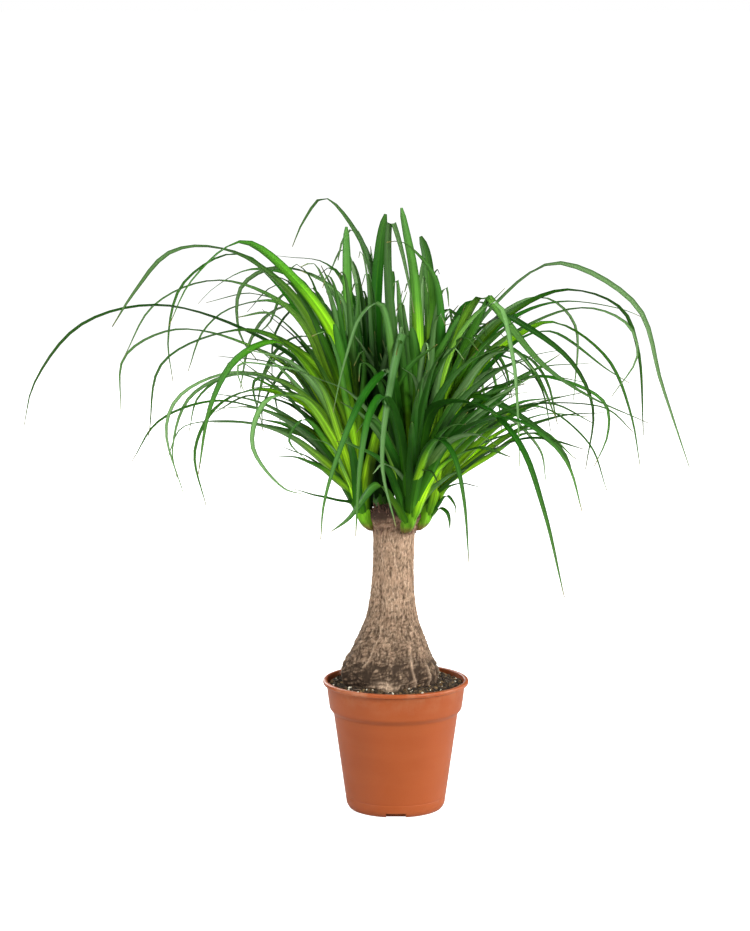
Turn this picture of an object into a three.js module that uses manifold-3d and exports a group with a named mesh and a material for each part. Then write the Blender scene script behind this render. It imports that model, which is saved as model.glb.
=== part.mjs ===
// A ponytail palm: five leafy heads round the cut top of one swollen trunk, rooted in a nursery pot.
// Millimetres, +Z up. The pot stands on z = 0 round the origin, and the front is towards -Y.

import * as THREE from "three";
import { mergeVertices } from "three/addons/utils/BufferGeometryUtils.js";
import Module from "manifold-3d";

const wasm = await Module();
wasm.setup();

// Driving dimensions

const CLEARANCE = 0.3;
const SLIVER = 0.05;
const ROUND_SIDES = 32;

const POT_HEIGHT = 126;
const LIP_RADIUS = 70;
const BAND_TOP_RADIUS = 66.7;
const BAND_FOOT_RADIUS = 63.7;
const BAND_FOOT_HEIGHT = 98;
const SHOULDER = 4;
const BODY_TOP_RADIUS = 60.5;
const BODY_FOOT_RADIUS = 47.4;
const FOOT_ROUNDING = 4;
const WALL = 1.5;
const GATE_PAD_RADIUS = 12;
const FOOT_RING_WIDTH = 8;
const FOOT_RECESS = 0.8;
const DRAIN_COUNT = 4;
const DRAIN_WIDTH = 19;
const DRAIN_HEIGHT = 4.5;
const DRAIN_INNER_RADIUS = 39;
const FLOOR_EDGE_RADIUS = BODY_FOOT_RADIUS - 3;
const BAND_INSIDE_TOP = POT_HEIGHT - 5;

const SOIL_HEIGHT = 120.6;
const SOIL_MOUND = 8;
const SOIL_ROUGHNESS = 0.5;
const SOIL_RING_STEP = 11;

const TRUNK_SIDES = 28;
const TRUNK_FOOT_AXIS = -5.8;
const TRUNK_TOP_AXIS = -1.2;
const TRUNK_SPREAD_HEIGHT = 128;
const TRUNK_HEIGHT = 293;
const COLLAR_HEIGHT = 286;
const ROOT_COUNT = 5;
const ROOT_SIDES = 6;
const ROOT_ROWS = 4;
const FIRST_ROOT_ANGLE = 25;
const ROOT_TOP_HEIGHT = 92;
const ROOT_LENGTH = 52;
const ROOT_RADIUS = 6;

const CORE_SIDES = 8;
const CORE_CIRCLE_RADIUS = 27;
const CORE_FOOT_HEIGHT = 272;
const CORE_LENGTH = 78;
const CORE_LEAN = 0.2;

const SEGMENT_LENGTH = 66;
const KEEL_SHARE = 0.18;
const THINNEST_KEEL = 0.9;
const NARROWEST_TIP = 1;
const BORDER_MARGIN = 7;
const SPREAD_MARGIN = 9;
const TURN = 0.9;
const TWIST = 0.4;
const TWISTING = 0.9;
const TRIMMED_TWISTING = 0.25;

// Where leaves come out of a core, as shares of its length, for crowns from one height to a higher one
const LOWEST_ROOT = 0.12;
const LOWEST_ROOT_CROWN = 348;
const HIGHEST_ROOT = 0.6;
const HIGHEST_ROOT_CROWN = 540;
const MIDDLE_ROOT = 0.4;
const ROOT_OFFSET = 3;

// Where a leaf bends out: a share of the way to its first place, lifted by a share of that distance
const BEND_SHARE = 0.42;
const BEND_LIFT = 0.07;

// How much of a leaf's way sideways its climb counts for, where depth is shared out along it
const CLIMB_WEIGHT = 0.35;

// The eye from which the leaves' places are given: in front of the plant and a little above its top
const EYE_ACROSS = -20;
const EYE_DISTANCE = 3000;
const EYE_HEIGHT = 800;

// Trunk profile: height and radius, from the buried foot of the caudex up to the cut top
const TRUNK_PROFILE = [
  [74, 14],
  [84, 26],
  [96, 33.5],
  [108, 39],
  [118, 42.3],
  [127, 45],
  [134, 46.6],
  [141, 44.7],
  [148, 41.4],
  [155, 38],
  [162, 35],
  [169, 31.9],
  [182, 26.4],
  [196, 23],
  [212, 21],
  [232, 19.8],
  [252, 19.5],
  [268, 19.9],
  [279, 21.8],
  [287, 24],
  [TRUNK_HEIGHT - 1.5, 22.5],
  [TRUNK_HEIGHT, 14],
];

// Head core profile: share of its length and radius
const CORE_PROFILE = [
  [0, 3.5],
  [0.06, 6],
  [0.2, 7.5],
  [0.4, 8.5],
  [0.75, 8],
  [1, 4],
];

// Heads, round the cut top: plan angle of the core, the plan angles between which its leaves keep,
// the height that its upright leaves reach, and the numbers of leaves that fill it by the rule below.
// Angles are in degrees, counter-clockwise from +X.
const HEADS = {
  head_left: { at: 190, from: 157.5, to: 240, top: 540, upright: 4, arching: 1, hanging: 0 },
  head_front: { at: 297, from: 240, to: 328, top: 480, upright: 6, arching: 3, hanging: 0 },
  head_right: { at: 355, from: 328, to: 387.5, top: 485, upright: 5, arching: 0, hanging: 0 },
  head_back_right: { at: 52, from: 27.5, to: 80, top: 535, upright: 5, arching: 5, hanging: 2 },
  head_back_left: { at: 115, from: 80, to: 157.5, top: 545, upright: 6, arching: 6, hanging: 3 },
};

// How the filling leaves lie: reach from the trunk's axis, fall of the crown below the head's top,
// and drop from the crown to the tip, each as lowest and highest value
const FILLING = {
  upright: { reach: [40, 105], below: [0, 75], drop: [4, 40] },
  arching: { reach: [190, 270], below: [55, 110], drop: [70, 130] },
  hanging: { reach: [110, 190], below: [90, 140], drop: [50, 80] },
};

// Leaves that make the plant's outline: head, blade width, depth of the tip behind the trunk (minus is
// in front), and the places [across, up] that the leaf passes, as they look from the eye point above.
// A trimmed leaf had its tip cut off by the grower and ends bluntly.
const LEAVES = [
  ["head_left", 13, -50, [[-58, 422], [-98, 497], [-158, 541], [-213, 538], [-248, 500], [-269, 467]]],
  ["head_left", 12, -90, [[-53, 446], [-92, 508], [-147, 548], [-193, 512], [-215, 468]]],
  ["head_left", 7.5, 40, [[-70, 440], [-115, 512], [-152, 537], [-202, 508], [-216, 455], [-212, 414]]],
  ["head_left", 8, 20, [[-85, 465], [-117, 496], [-171, 512], [-230, 487], [-259, 437]]],
  ["head_left", 9, -20, [[-77, 417], [-115, 450], [-215, 488], [-299, 469], [-344, 413], [-354, 372]]],
  ["head_left", 8, 50, [[-91, 420], [-145, 452], [-210, 465], [-258, 438], [-262, 388]]],
  ["head_left", 10, -80, [[-61, 409], [-97, 447], [-150, 465], [-222, 432], [-236, 362]]],
  ["head_left", 8, -165, [[-77, 418], [-118, 430], [-148, 432], [-151, 426], [-145, 406]]],
  ["head_left", 8, -110, [[-66, 381], [-110, 416], [-150, 425], [-206, 401], [-219, 370], [-203, 307]]],
  ["head_left", 7, -40, [[-90, 404], [-150, 422], [-196, 400], [-213, 350], [-209, 322]]],
  ["head_left", 7, 30, [[-75, 380], [-114, 409], [-153, 422], [-188, 400], [-197, 367]]],
  ["head_left", 9, 60, [[-72, 384], [-131, 408], [-171, 390], [-192, 348], [-181, 294]]],
  ["head_left", 8.5, -120, [[-60, 360], [-90, 400], [-124, 396], [-137, 354], [-107, 312], [-90, 307]]],
  ["head_left", 8, -70, [[-78, 367], [-131, 390], [-172, 397], [-227, 376], [-252, 338]]],
  ["head_left", 8, 10, [[-63, 350], [-107, 369], [-165, 377], [-204, 371], [-218, 340]]],
  ["head_left", 7, -60, [[-66, 356], [-88, 379], [-102, 359], [-85, 339]]],
  ["head_left", 7, 25, [[-53, 330], [-88, 354]]],
  ["head_left", 5, -50, [[-63, 354], [-85, 362]]],
  ["head_left", 6, -30, [[-40, 297], [-66, 303], [-97, 311]]],
  ["head_left", 11, 9, [[-45, 450], [-46, 500], [-47, 545], [-47, 562]], "trimmed"],
  ["head_left", 12, -40, [[-44, 380], [-60, 430], [-84, 486], [-104, 512], [-122, 516]]],
  ["head_left", 11, -75, [[-46, 370], [-62, 410], [-90, 455], [-118, 480], [-150, 476]]],
  ["head_left", 12, -50, [[-38, 360], [-46, 400], [-53, 445], [-58, 470]], "trimmed"],
  ["head_left", 12, -45, [[-50, 445], [-60, 488], [-67, 508], [-78, 528], [-90, 524]]],
  ["head_left", 8, 5, [[-50, 492], [-64, 507], [-90, 520]]],
  ["head_back_left", 10, 60, [[-18, 500], [-33, 548], [-68, 590], [-87, 568], [-98, 543]]],
  ["head_back_left", 12, 75, [[-19, 450], [-20, 505], [-29, 538], [-40, 560], [-50, 550], [-55, 530]]],
  ["head_back_left", 10, 40, [[-19, 380], [-22, 440], [-24, 500], [-28, 520], [-33, 505]]],
  ["head_back_left", 8, 120, [[-40, 520], [-50, 542], [-65, 513]]],
  ["head_back_left", 7, 95, [[-45, 505], [-69, 529], [-100, 533], [-117, 535]]],
  ["head_back_left", 9, 90, [[-64, 507], [-113, 524], [-147, 504], [-148, 460], [-131, 434]]],
  ["head_back_left", 7, 140, [[-70, 480], [-92, 487], [-115, 460], [-118, 412]]],
  ["head_back_left", 7, 110, [[-80, 500], [-114, 507], [-141, 481]]],
  ["head_back_left", 8, 140, [[-90, 510], [-136, 522], [-174, 503], [-188, 489]]],
  ["head_back_left", 7, 170, [[-90, 480], [-136, 499], [-150, 498], [-180, 490]]],
  ["head_back_left", 7, 200, [[-75, 480], [-106, 499], [-120, 471], [-139, 454]]],
  ["head_back_left", 7, 160, [[-80, 400], [-110, 418], [-135, 415], [-126, 367]]],
  ["head_back_left", 7, 180, [[-80, 395], [-114, 406], [-110, 375]]],
  ["head_back_left", 7, 120, [[-60, 430], [-90, 440], [-126, 394], [-127, 368]]],
  ["head_back_left", 13, 45, [[-21, 440], [-18, 510], [-14, 555], [-10, 574]], "trimmed"],
  ["head_back_left", 12, 80, [[-9, 430], [-7, 480], [-3, 520]], "trimmed"],
  ["head_back_left", 12, 50, [[-12, 350], [-14, 390], [-16, 430], [-22, 440], [-30, 425]]],
  ["head_back_left", 10, 60, [[-8, 380], [-12, 440], [-20, 472], [-30, 455]]],
  ["head_back_right", 14, 50, [[33, 450], [32, 500], [28, 538], [23, 553]], "trimmed"],
  ["head_back_right", 8, 60, [[21, 440], [32, 463], [51, 470]]],
  ["head_back_right", 8, 120, [[60, 400], [81, 418], [129, 440], [158, 445]]],
  ["head_back_right", 7, 135, [[90, 470], [138, 496], [169, 470], [169, 397]]],
  ["head_back_right", 7, 165, [[80, 420], [123, 459], [147, 463], [200, 427], [221, 414]]],
  ["head_front", 11, -90, [[-2, 450], [-8, 530], [-5, 570], [3, 548], [12, 508], [17, 480]]],
  ["head_front", 12, -55, [[21, 450], [17, 515], [10, 555], [5, 580]], "trimmed"],
  ["head_front", 11, -75, [[37, 400], [43, 465], [37, 512], [22, 535], [5, 548], [-9, 547]]],
  ["head_front", 8, -140, [[-16, 490], [-34, 477], [-48, 437], [-60, 385]]],
  ["head_front", 9, -165, [[-7, 425], [-29, 404], [-53, 351], [-69, 296], [-72, 262]]],
  ["head_front", 10, -120, [[13, 430], [8, 463], [-6, 407], [-13, 334], [0, 275]]],
  ["head_front", 14, -70, [[18, 370], [20, 420], [15, 466]], "trimmed"],
  ["head_front", 12, -90, [[24, 390], [32, 430], [37, 470], [41, 480], [47, 468]]],
  ["head_front", 11, -75, [[8, 350], [0, 385], [-6, 420], [-11, 428], [-18, 412]]],
  ["head_front", 9, -130, [[-17, 316], [-45, 283], [-62, 270]]],
  ["head_front", 7, -105, [[-12, 337], [-47, 356], [-62, 358]]],
  ["head_front", 6, -50, [[-6, 372], [2, 388], [12, 391], [24, 386]]],
  ["head_front", 13, -60, [[25, 390], [38, 436], [60, 478]], "trimmed"],
  ["head_front", 7, -105, [[60, 460], [95, 490], [111, 437], [115, 400], [118, 333]]],
  ["head_front", 10, -200, [[33, 387], [55, 397], [87, 389], [120, 352], [142, 289], [162, 206]]],
  ["head_right", 11, -115, [[57, 458], [83, 498], [104, 473], [138, 432], [180, 403], [240, 375]]],
  ["head_right", 7, -50, [[43, 484], [69, 466], [103, 421], [108, 399]]],
  ["head_right", 9, 40, [[50, 406], [99, 473], [163, 503], [213, 485], [229, 447], [236, 363]]],
  ["head_right", 9, -20, [[60, 440], [96, 492], [149, 528], [227, 488], [252, 414], [280, 332]]],
  ["head_right", 8, 85, [[80, 450], [118, 480], [163, 492], [213, 484], [233, 476]]],
  ["head_right", 8, -80, [[85, 440], [125, 469], [180, 486], [220, 469], [229, 440], [205, 400]]],
  ["head_right", 8, 60, [[80, 430], [115, 459], [149, 472], [199, 439], [224, 382], [233, 333]]],
  ["head_right", 8, -80, [[60, 440], [98, 478], [124, 467], [167, 433], [187, 390], [181, 330]]],
  ["head_right", 11, -70, [[66, 411], [104, 449], [131, 425], [153, 378]]],
  ["head_right", 13, -60, [[42, 390], [58, 440], [80, 496]], "trimmed"],
  ["head_right", 12, -70, [[44, 370], [64, 410], [90, 440], [112, 444], [132, 424]]],
  ["head_right", 8, -100, [[62, 362], [107, 387], [150, 395], [200, 389], [226, 366]]],
  ["head_right", 7, 65, [[60, 360], [95, 380], [138, 391], [184, 355], [202, 309]]],
  ["head_right", 8, -20, [[67, 398], [115, 416], [143, 420], [198, 395], [202, 365], [189, 333]]],
  ["head_right", 9, -60, [[35, 305], [91, 345], [130, 366], [163, 339], [170, 318]]],
  ["head_right", 7, 35, [[47, 334], [98, 362], [135, 369], [172, 340]]],
  ["head_right", 9, -85, [[50, 385], [75, 401], [110, 387], [160, 347], [170, 320]]],
  ["head_right", 7, 30, [[60, 360], [98, 383], [137, 350], [143, 320]]],
  ["head_right", 6, -25, [[35, 377], [45, 381], [60, 370], [65, 350]]],
  ["head_right", 6, 20, [[45, 350], [62, 370], [77, 379], [90, 365]]],
  ["head_right", 6, -25, [[50, 314], [66, 317], [80, 313]]],
  ["head_right", 5, -20, [[49, 305], [57, 294], [57, 288]]],
  ["head_right", 6, -12, [[40, 293], [49, 289], [52, 272]]],
];

// Solids from points

function solidOf(positions, triangles) {
  const mesh = new wasm.Mesh({
    numProp: 3,
    vertProperties: new Float32Array(positions),
    triVerts: new Uint32Array(triangles),
  });
  return new wasm.Manifold(mesh);
}

// A closed skin over rings of points, each with as many points as the next. Each patch between two rings
// is folded outwards, so that the two sides of a twisted blade don't pass through each other.
function skinned(rings) {
  const sides = rings[0].length;
  const points = rings.flat();
  const triangles = [];
  for (let row = 0; row + 1 < rings.length; row += 1) {
    for (let i = 0; i < sides; i += 1) {
      const a = row * sides + i;
      const b = row * sides + ((i + 1) % sides);
      const [c, d] = [b + sides, a + sides];
      const [toB, toC, toD] = [b, c, d].map((k) => points[k].clone().sub(points[a]));
      if (toD.dot(toB.cross(toC)) > 0) triangles.push(a, b, d, b, c, d);
      else triangles.push(a, b, c, a, c, d);
    }
  }
  const last = (rings.length - 1) * sides;
  for (let i = 1; i + 1 < sides; i += 1) {
    triangles.push(0, i + 1, i, last, last + i, last + i + 1);
  }
  return solidOf(points.flatMap((p) => [p.x, p.y, p.z]), triangles);
}

// A closed outline of [radius, height] turned about the Z axis
function turned(outline) {
  const profile = [...outline, outline[0]].map(([radius, height]) => new THREE.Vector2(radius, height));
  const lathe = new THREE.LatheGeometry(profile, ROUND_SIDES);
  lathe.rotateX(Math.PI / 2);
  lathe.deleteAttribute("normal");
  lathe.deleteAttribute("uv");
  return merged(lathe);
}

function merged(geometry) {
  const joined = mergeVertices(geometry, 1e-4);
  const index = joined.index.array;
  const kept = [];
  for (let i = 0; i < index.length; i += 3) {
    const [a, b, c] = index.slice(i, i + 3);
    if (a !== b && b !== c && c !== a) kept.push(a, b, c);
  }
  return solidOf(joined.attributes.position.array, kept);
}

function meshFrom(name, solid, material) {
  const { numProp, vertProperties, triVerts } = solid.getMesh();
  const positions = new Float32Array((vertProperties.length / numProp) * 3);
  for (let i = 0; i < positions.length / 3; i += 1) {
    positions.set(vertProperties.subarray(i * numProp, i * numProp + 3), i * 3);
  }
  const geometry = new THREE.BufferGeometry();
  geometry.setAttribute("position", new THREE.BufferAttribute(positions, 3));
  geometry.setIndex(new THREE.BufferAttribute(triVerts, 1));
  const mesh = new THREE.Mesh(geometry, material);
  mesh.name = name;
  return mesh;
}

// A cut or joined solid without its slivers, loose scraps and sealed hollows
function tidied(solid) {
  return solid
    .simplify(SLIVER)
    .decompose()
    .reduce((a, b) => (a.volume() > b.volume() ? a : b));
}

function radians(degrees) {
  return (degrees * Math.PI) / 180;
}

// Seeded draws: the same numbers in the same order every time
function drawsFrom(seed) {
  let state = seed;
  return (low, high) => {
    state = (state * 16807) % 2147483647;
    return low + ((high - low) * state) / 2147483647;
  };
}

// Pot

function bodyRadius(height) {
  const rise = (height - FOOT_ROUNDING) / (BAND_FOOT_HEIGHT - FOOT_ROUNDING);
  return BODY_FOOT_RADIUS + (BODY_TOP_RADIUS - BODY_FOOT_RADIUS) * rise;
}

function innerRadius(height) {
  if (height <= BAND_FOOT_HEIGHT - SHOULDER) return bodyRadius(height) - WALL;
  const rise = (height - BAND_FOOT_HEIGHT) / (BAND_INSIDE_TOP - BAND_FOOT_HEIGHT);
  return BAND_FOOT_RADIUS - WALL + (BAND_TOP_RADIUS - BAND_FOOT_RADIUS) * rise;
}

function potSolid() {
  const floor = FLOOR_EDGE_RADIUS;
  const recess = floor - FOOT_RING_WIDTH;
  const outline = [
    [0, 0],
    [GATE_PAD_RADIUS, 0],
    [GATE_PAD_RADIUS + 1, FOOT_RECESS],
    [recess - 1, FOOT_RECESS],
    [recess, 0],
    [floor, 0],
    [floor + 2, 1],
    [BODY_FOOT_RADIUS, FOOT_ROUNDING],
    [bodyRadius(BAND_FOOT_HEIGHT - SHOULDER), BAND_FOOT_HEIGHT - SHOULDER],
    [BAND_FOOT_RADIUS - 1.2, BAND_FOOT_HEIGHT - 1],
    [BAND_FOOT_RADIUS, BAND_FOOT_HEIGHT + 0.6],
    [BAND_TOP_RADIUS, POT_HEIGHT - 4.6],
    [LIP_RADIUS - 0.9, POT_HEIGHT - 4.2],
    [LIP_RADIUS, POT_HEIGHT - 3.2],
    [LIP_RADIUS, POT_HEIGHT - 1],
    [LIP_RADIUS - 1, POT_HEIGHT],
    [BAND_TOP_RADIUS - 0.6, POT_HEIGHT - 0.2],
    [innerRadius(BAND_INSIDE_TOP), BAND_INSIDE_TOP],
    [innerRadius(BAND_FOOT_HEIGHT), BAND_FOOT_HEIGHT],
    [bodyRadius(BAND_FOOT_HEIGHT - SHOULDER) - WALL, BAND_FOOT_HEIGHT - SHOULDER],
    [bodyRadius(6) - WALL, 6],
    [floor - 1, FOOT_RECESS + WALL + 1],
    [floor - 3, FOOT_RECESS + WALL],
    [0, FOOT_RECESS + WALL],
  ];
  let pot = turned(outline);
  const depth = BODY_FOOT_RADIUS + 4 - DRAIN_INNER_RADIUS;
  for (let i = 0; i < DRAIN_COUNT; i += 1) {
    const slot = new THREE.BoxGeometry(depth, DRAIN_WIDTH, DRAIN_HEIGHT * 2);
    slot.translate(DRAIN_INNER_RADIUS + depth / 2, 0, 0);
    slot.rotateZ(radians(270 + (i * 360) / DRAIN_COUNT));
    slot.deleteAttribute("normal");
    slot.deleteAttribute("uv");
    pot = pot.subtract(merged(slot));
  }
  return pot;
}

// Trunk, with its buried foot and main roots. grow is how much larger all round, for the hole it stands in.

function trunkAxis(height) {
  const rise = (height - TRUNK_SPREAD_HEIGHT) / (TRUNK_HEIGHT - TRUNK_SPREAD_HEIGHT);
  return TRUNK_FOOT_AXIS + (TRUNK_TOP_AXIS - TRUNK_FOOT_AXIS) * THREE.MathUtils.clamp(rise, 0, 1);
}

// Root flares and creases round the caudex, bark ridges higher up and a knobbly collar at the cut
function barkRelief(angle, height) {
  const skirt = Math.exp(-(((height - 136) / 20) ** 2));
  const buttress = Math.exp(-(((height - 117) / 9) ** 2));
  const collar = Math.exp(-(((height - COLLAR_HEIGHT) / 7) ** 2));
  const flares = 1.5 * Math.cos(5 * angle + 1.75) + 0.9 * Math.cos(9 * angle + height * 0.05);
  const knobs = 1.3 * Math.cos(6 * angle + 1) + 0.8 * Math.cos(11 * angle);
  const ridges = 0.4 * Math.cos(7 * angle + height * 0.03);
  return skirt * flares + buttress * 2.4 * Math.cos(5 * angle + 1.75) + collar * knobs + ridges;
}

function caudex(grow) {
  const rings = TRUNK_PROFILE.map(([height, radius], row) => {
    const end = (height > COLLAR_HEIGHT) - (row < 2);
    return Array.from({ length: TRUNK_SIDES }, (unused, i) => {
      const angle = (2 * Math.PI * i) / TRUNK_SIDES;
      const r = radius + barkRelief(angle, height) + grow;
      const top = height === TRUNK_HEIGHT ? 1.2 * Math.cos(3 * angle) - 1 : 0;
      return new THREE.Vector3(
        trunkAxis(height) + r * Math.cos(angle),
        r * Math.sin(angle),
        height + top + end * grow,
      );
    });
  });
  return skinned(rings);
}

function rootSolid(index, grow) {
  const angle = radians(FIRST_ROOT_ANGLE + (index * 360) / ROOT_COUNT);
  const out = new THREE.Vector3(Math.cos(angle), Math.sin(angle), 0);
  const rings = [];
  for (let row = 0; row <= ROOT_ROWS; row += 1) {
    const t = row / ROOT_ROWS;
    const centre = out.clone().multiplyScalar(18 + 22 * Math.sin(t * 1.4));
    centre.x += TRUNK_FOOT_AXIS * (1 - t);
    centre.z = ROOT_TOP_HEIGHT - ROOT_LENGTH * t;
    const radius = ROOT_RADIUS * (1 - 0.65 * t) + grow;
    const height = row === ROOT_ROWS ? -grow : 0;
    rings.push(
      Array.from({ length: ROOT_SIDES }, (unused, i) => {
        const turn = (2 * Math.PI * i) / ROOT_SIDES;
        return new THREE.Vector3(radius * Math.cos(turn), -radius * Math.sin(turn), height).add(centre);
      }),
    );
  }
  return skinned(rings);
}

function trunkSolid(grow) {
  const pieces = [caudex(grow)];
  for (let i = 0; i < ROOT_COUNT; i += 1) pieces.push(rootSolid(i, grow));
  return wasm.Manifold.union(pieces);
}

// Potting mix, from the pot's floor up to its rough top

function soilSolid(trunkHole) {
  const foot = FOOT_RECESS + WALL + CLEARANCE;
  const wallHeights = [9, BAND_FOOT_HEIGHT - SHOULDER, BAND_FOOT_HEIGHT + CLEARANCE, SOIL_HEIGHT - 0.8];
  const wall = wallHeights.map((height) => [innerRadius(height) - CLEARANCE, height]);
  const top = wall.at(-1)[0];
  const outline = [
    [DRAIN_INNER_RADIUS - CLEARANCE, foot],
    [DRAIN_INNER_RADIUS - CLEARANCE, DRAIN_HEIGHT + CLEARANCE],
    ...wall,
  ];
  for (let radius = top - 2.5; radius > 30; radius -= SOIL_RING_STEP) outline.push([radius, SOIL_HEIGHT]);
  const rings = outline.map(([radius, height], row) =>
    Array.from({ length: ROUND_SIDES }, (unused, i) => {
      const angle = (2 * Math.PI * i) / ROUND_SIDES;
      const upper = row > wall.length + 1;
      const lumps = Math.sin(5 * angle + radius * 0.5) + Math.cos(8 * angle - radius * 0.31);
      const mound = SOIL_MOUND * (1 - radius / top) + SOIL_ROUGHNESS * lumps;
      return new THREE.Vector3(
        radius * Math.cos(angle),
        radius * Math.sin(angle),
        height + (upper ? mound : 0),
      );
    }),
  );
  return skinned(rings).subtract(trunkHole);
}

// Leafy heads

function headAxis(head, share) {
  const angle = radians(head.at);
  const height = CORE_LENGTH * share;
  const radius = CORE_CIRCLE_RADIUS + CORE_LEAN * height;
  return new THREE.Vector3(
    TRUNK_TOP_AXIS + radius * Math.cos(angle),
    radius * Math.sin(angle),
    CORE_FOOT_HEIGHT + height,
  );
}

function coreSolid(head) {
  const rings = CORE_PROFILE.map(([share, radius]) =>
    Array.from({ length: CORE_SIDES }, (unused, i) => {
      const angle = (2 * Math.PI * i) / CORE_SIDES;
      return new THREE.Vector3(radius * Math.cos(angle), radius * Math.sin(angle), 0).add(
        headAxis(head, share),
      );
    }),
  );
  return skinned(rings);
}

// The place at a depth that looks from the eye point as if it were at [across, up] on the trunk's plane
function placed(across, up, depth) {
  const scale = (EYE_DISTANCE + depth) / EYE_DISTANCE;
  return new THREE.Vector3(
    EYE_ACROSS + (across - EYE_ACROSS) * scale,
    depth,
    EYE_HEIGHT + (up - EYE_HEIGHT) * scale,
  );
}

// Bends a point back between the two upright planes that bound its head's share of the crown
function keptClear(point, head) {
  for (const [angle, side] of [[head.from, 1], [head.to, -1]]) {
    const normal = new THREE.Vector3(-Math.sin(radians(angle)), Math.cos(radians(angle)), 0);
    normal.multiplyScalar(side);
    const inside = (point.x - TRUNK_TOP_AXIS) * normal.x + point.y * normal.y;
    if (inside < BORDER_MARGIN) point.addScaledVector(normal, BORDER_MARGIN - inside);
  }
  return point;
}

// Where a leaf with its crown at this height comes out of the core, towards a plan direction
function rootOf(head, crown, towards) {
  const rise = THREE.MathUtils.inverseLerp(LOWEST_ROOT_CROWN, HIGHEST_ROOT_CROWN, crown);
  const share = THREE.MathUtils.lerp(LOWEST_ROOT, HIGHEST_ROOT, THREE.MathUtils.clamp(rise, 0, 1));
  const root = headAxis(head, share);
  const out = towards.clone().sub(root).setZ(0).normalize();
  return root.addScaledVector(out, ROOT_OFFSET);
}

// A leaf's route from its root through its places: it leaves the core steeply and then bends out
function routeFrom(head, places) {
  const crown = Math.max(...places.map((place) => place.z));
  const root = rootOf(head, crown, places.at(-1));
  const first = places[0];
  const rise = root.clone().lerp(first, BEND_SHARE);
  rise.z += BEND_LIFT * root.distanceTo(first);
  return [root, rise, ...places].map((point) => keptClear(point, head));
}

function outlineLeaf([headName, width, depth, seen, end]) {
  const head = HEADS[headName];
  const start = headAxis(head, MIDDLE_ROOT);
  const strides = seen.map(([across, up], i) => {
    const [fromAcross, fromUp] = i ? seen[i - 1] : [start.x, start.z];
    return Math.hypot(across - fromAcross, CLIMB_WEIGHT * (up - fromUp));
  });
  const total = strides.reduce((sum, stride) => sum + stride, 0);
  let done = 0;
  const places = seen.map(([across, up], i) => {
    done += strides[i];
    return placed(across, up, start.y + ((depth - start.y) * done) / total);
  });
  return { route: routeFrom(head, places), width, trimmed: end === "trimmed" };
}

function fillingLeaf(head, kind, index, count, draw) {
  const { reach, below, drop } = FILLING[kind];
  const span = head.to - head.from - 2 * SPREAD_MARGIN;
  const angle = radians(head.from + SPREAD_MARGIN + (span * (index + draw(0.15, 0.85))) / count);
  const far = draw(...reach);
  const crown = head.top - draw(...below);
  const fall = draw(...drop);
  const tip = new THREE.Vector3(TRUNK_TOP_AXIS + far * Math.cos(angle), far * Math.sin(angle), 0);
  const start = headAxis(head, MIDDLE_ROOT);
  const shares = kind === "upright" ? [0.4, 0.78, 1] : [0.24, 0.5, 0.76, 0.92, 1];
  const falls = kind === "upright" ? [0.42, 0.05, 0] : [0.3, 0, 0.1, 0.45, 1];
  const places = shares.map((share, i) => {
    const place = start.clone().lerp(tip, share);
    const rising = i === 0 || kind === "upright";
    place.z = crown - falls[i] * (rising ? crown - start.z : fall);
    return place;
  });
  if (kind === "upright") places.push(tip.clone().multiplyScalar(1.06).setZ(crown - fall * 0.5));
  return { route: routeFrom(head, places), width: draw(7.5, 11), trimmed: false };
}

// Share of its full width that a blade has at a share s of its length
function taper(s, trimmed) {
  return trimmed ? 1.12 - 0.45 * s - 0.3 * s ** 12 : 1.12 - 0.35 * s - 0.7 * s * s;
}

// A blade along its route: broad at the foot, with a keel below. Where it rises or hangs, TURN turns its
// face to the front, towards the light that it grew in. Draws twist it further, a trimmed one least.
function bladeSolid({ route, width, trimmed }, draw) {
  const curve = new THREE.CatmullRomCurve3(route, false, "centripetal");
  const spans = route.length - 1;
  const steps = spans * Math.max(1, Math.round(curve.getLength() / spans / SEGMENT_LENGTH));
  const lengths = curve.getLengths(steps);
  const [root, tip] = [route[0], route.at(-1)];
  const plan = tip.clone().sub(root).setZ(0).normalize();
  const level = new THREE.Vector3(-plan.y, plan.x, 0);
  const turn = TURN * plan.x * Math.sign(plan.y);
  const twist = draw(-TWIST, TWIST);
  const twisting = draw(-1, 1) * (trimmed ? TRIMMED_TWISTING : TWISTING);
  const rings = [];
  for (let row = 0; row <= steps; row += 1) {
    const centre = curve.getPoint(row / steps);
    const tangent = curve.getTangent(row / steps);
    const s = lengths[row] / lengths[steps];
    const across = level.clone().addScaledVector(tangent, -level.dot(tangent)).normalize();
    across.applyAxisAngle(tangent, turn * tangent.z + twist + twisting * s);
    const upper = tangent.clone().cross(across);
    const half = Math.max(NARROWEST_TIP, width * taper(s, trimmed)) / 2;
    const keel = Math.max(THINNEST_KEEL, half * 2 * KEEL_SHARE);
    rings.push([
      centre.clone().addScaledVector(across, half),
      centre.clone().addScaledVector(across, -half),
      centre.clone().addScaledVector(upper, -keel),
    ]);
  }
  return skinned(rings);
}

function headSolid(name, seed) {
  const head = HEADS[name];
  const draw = drawsFrom(seed);
  const leaves = LEAVES.filter((leaf) => leaf[0] === name).map(outlineLeaf);
  for (const kind of Object.keys(FILLING)) {
    for (let i = 0; i < head[kind]; i += 1) leaves.push(fillingLeaf(head, kind, i, head[kind], draw));
  }
  const blades = leaves.map((leaf) => bladeSolid(leaf, draw));
  return wasm.Manifold.union([coreSolid(head), ...blades]);
}

// Materials

function finish(colour, roughness) {
  return new THREE.MeshStandardMaterial({ color: colour, roughness, metalness: 0 });
}

const potPlastic = finish(0xb55a35, 0.45);
const pottingMix = finish(0x35261d, 0.95);
const bark = finish(0x8d7a69, 0.9);
const foliage = finish(0x3f7d2b, 0.4);

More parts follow.
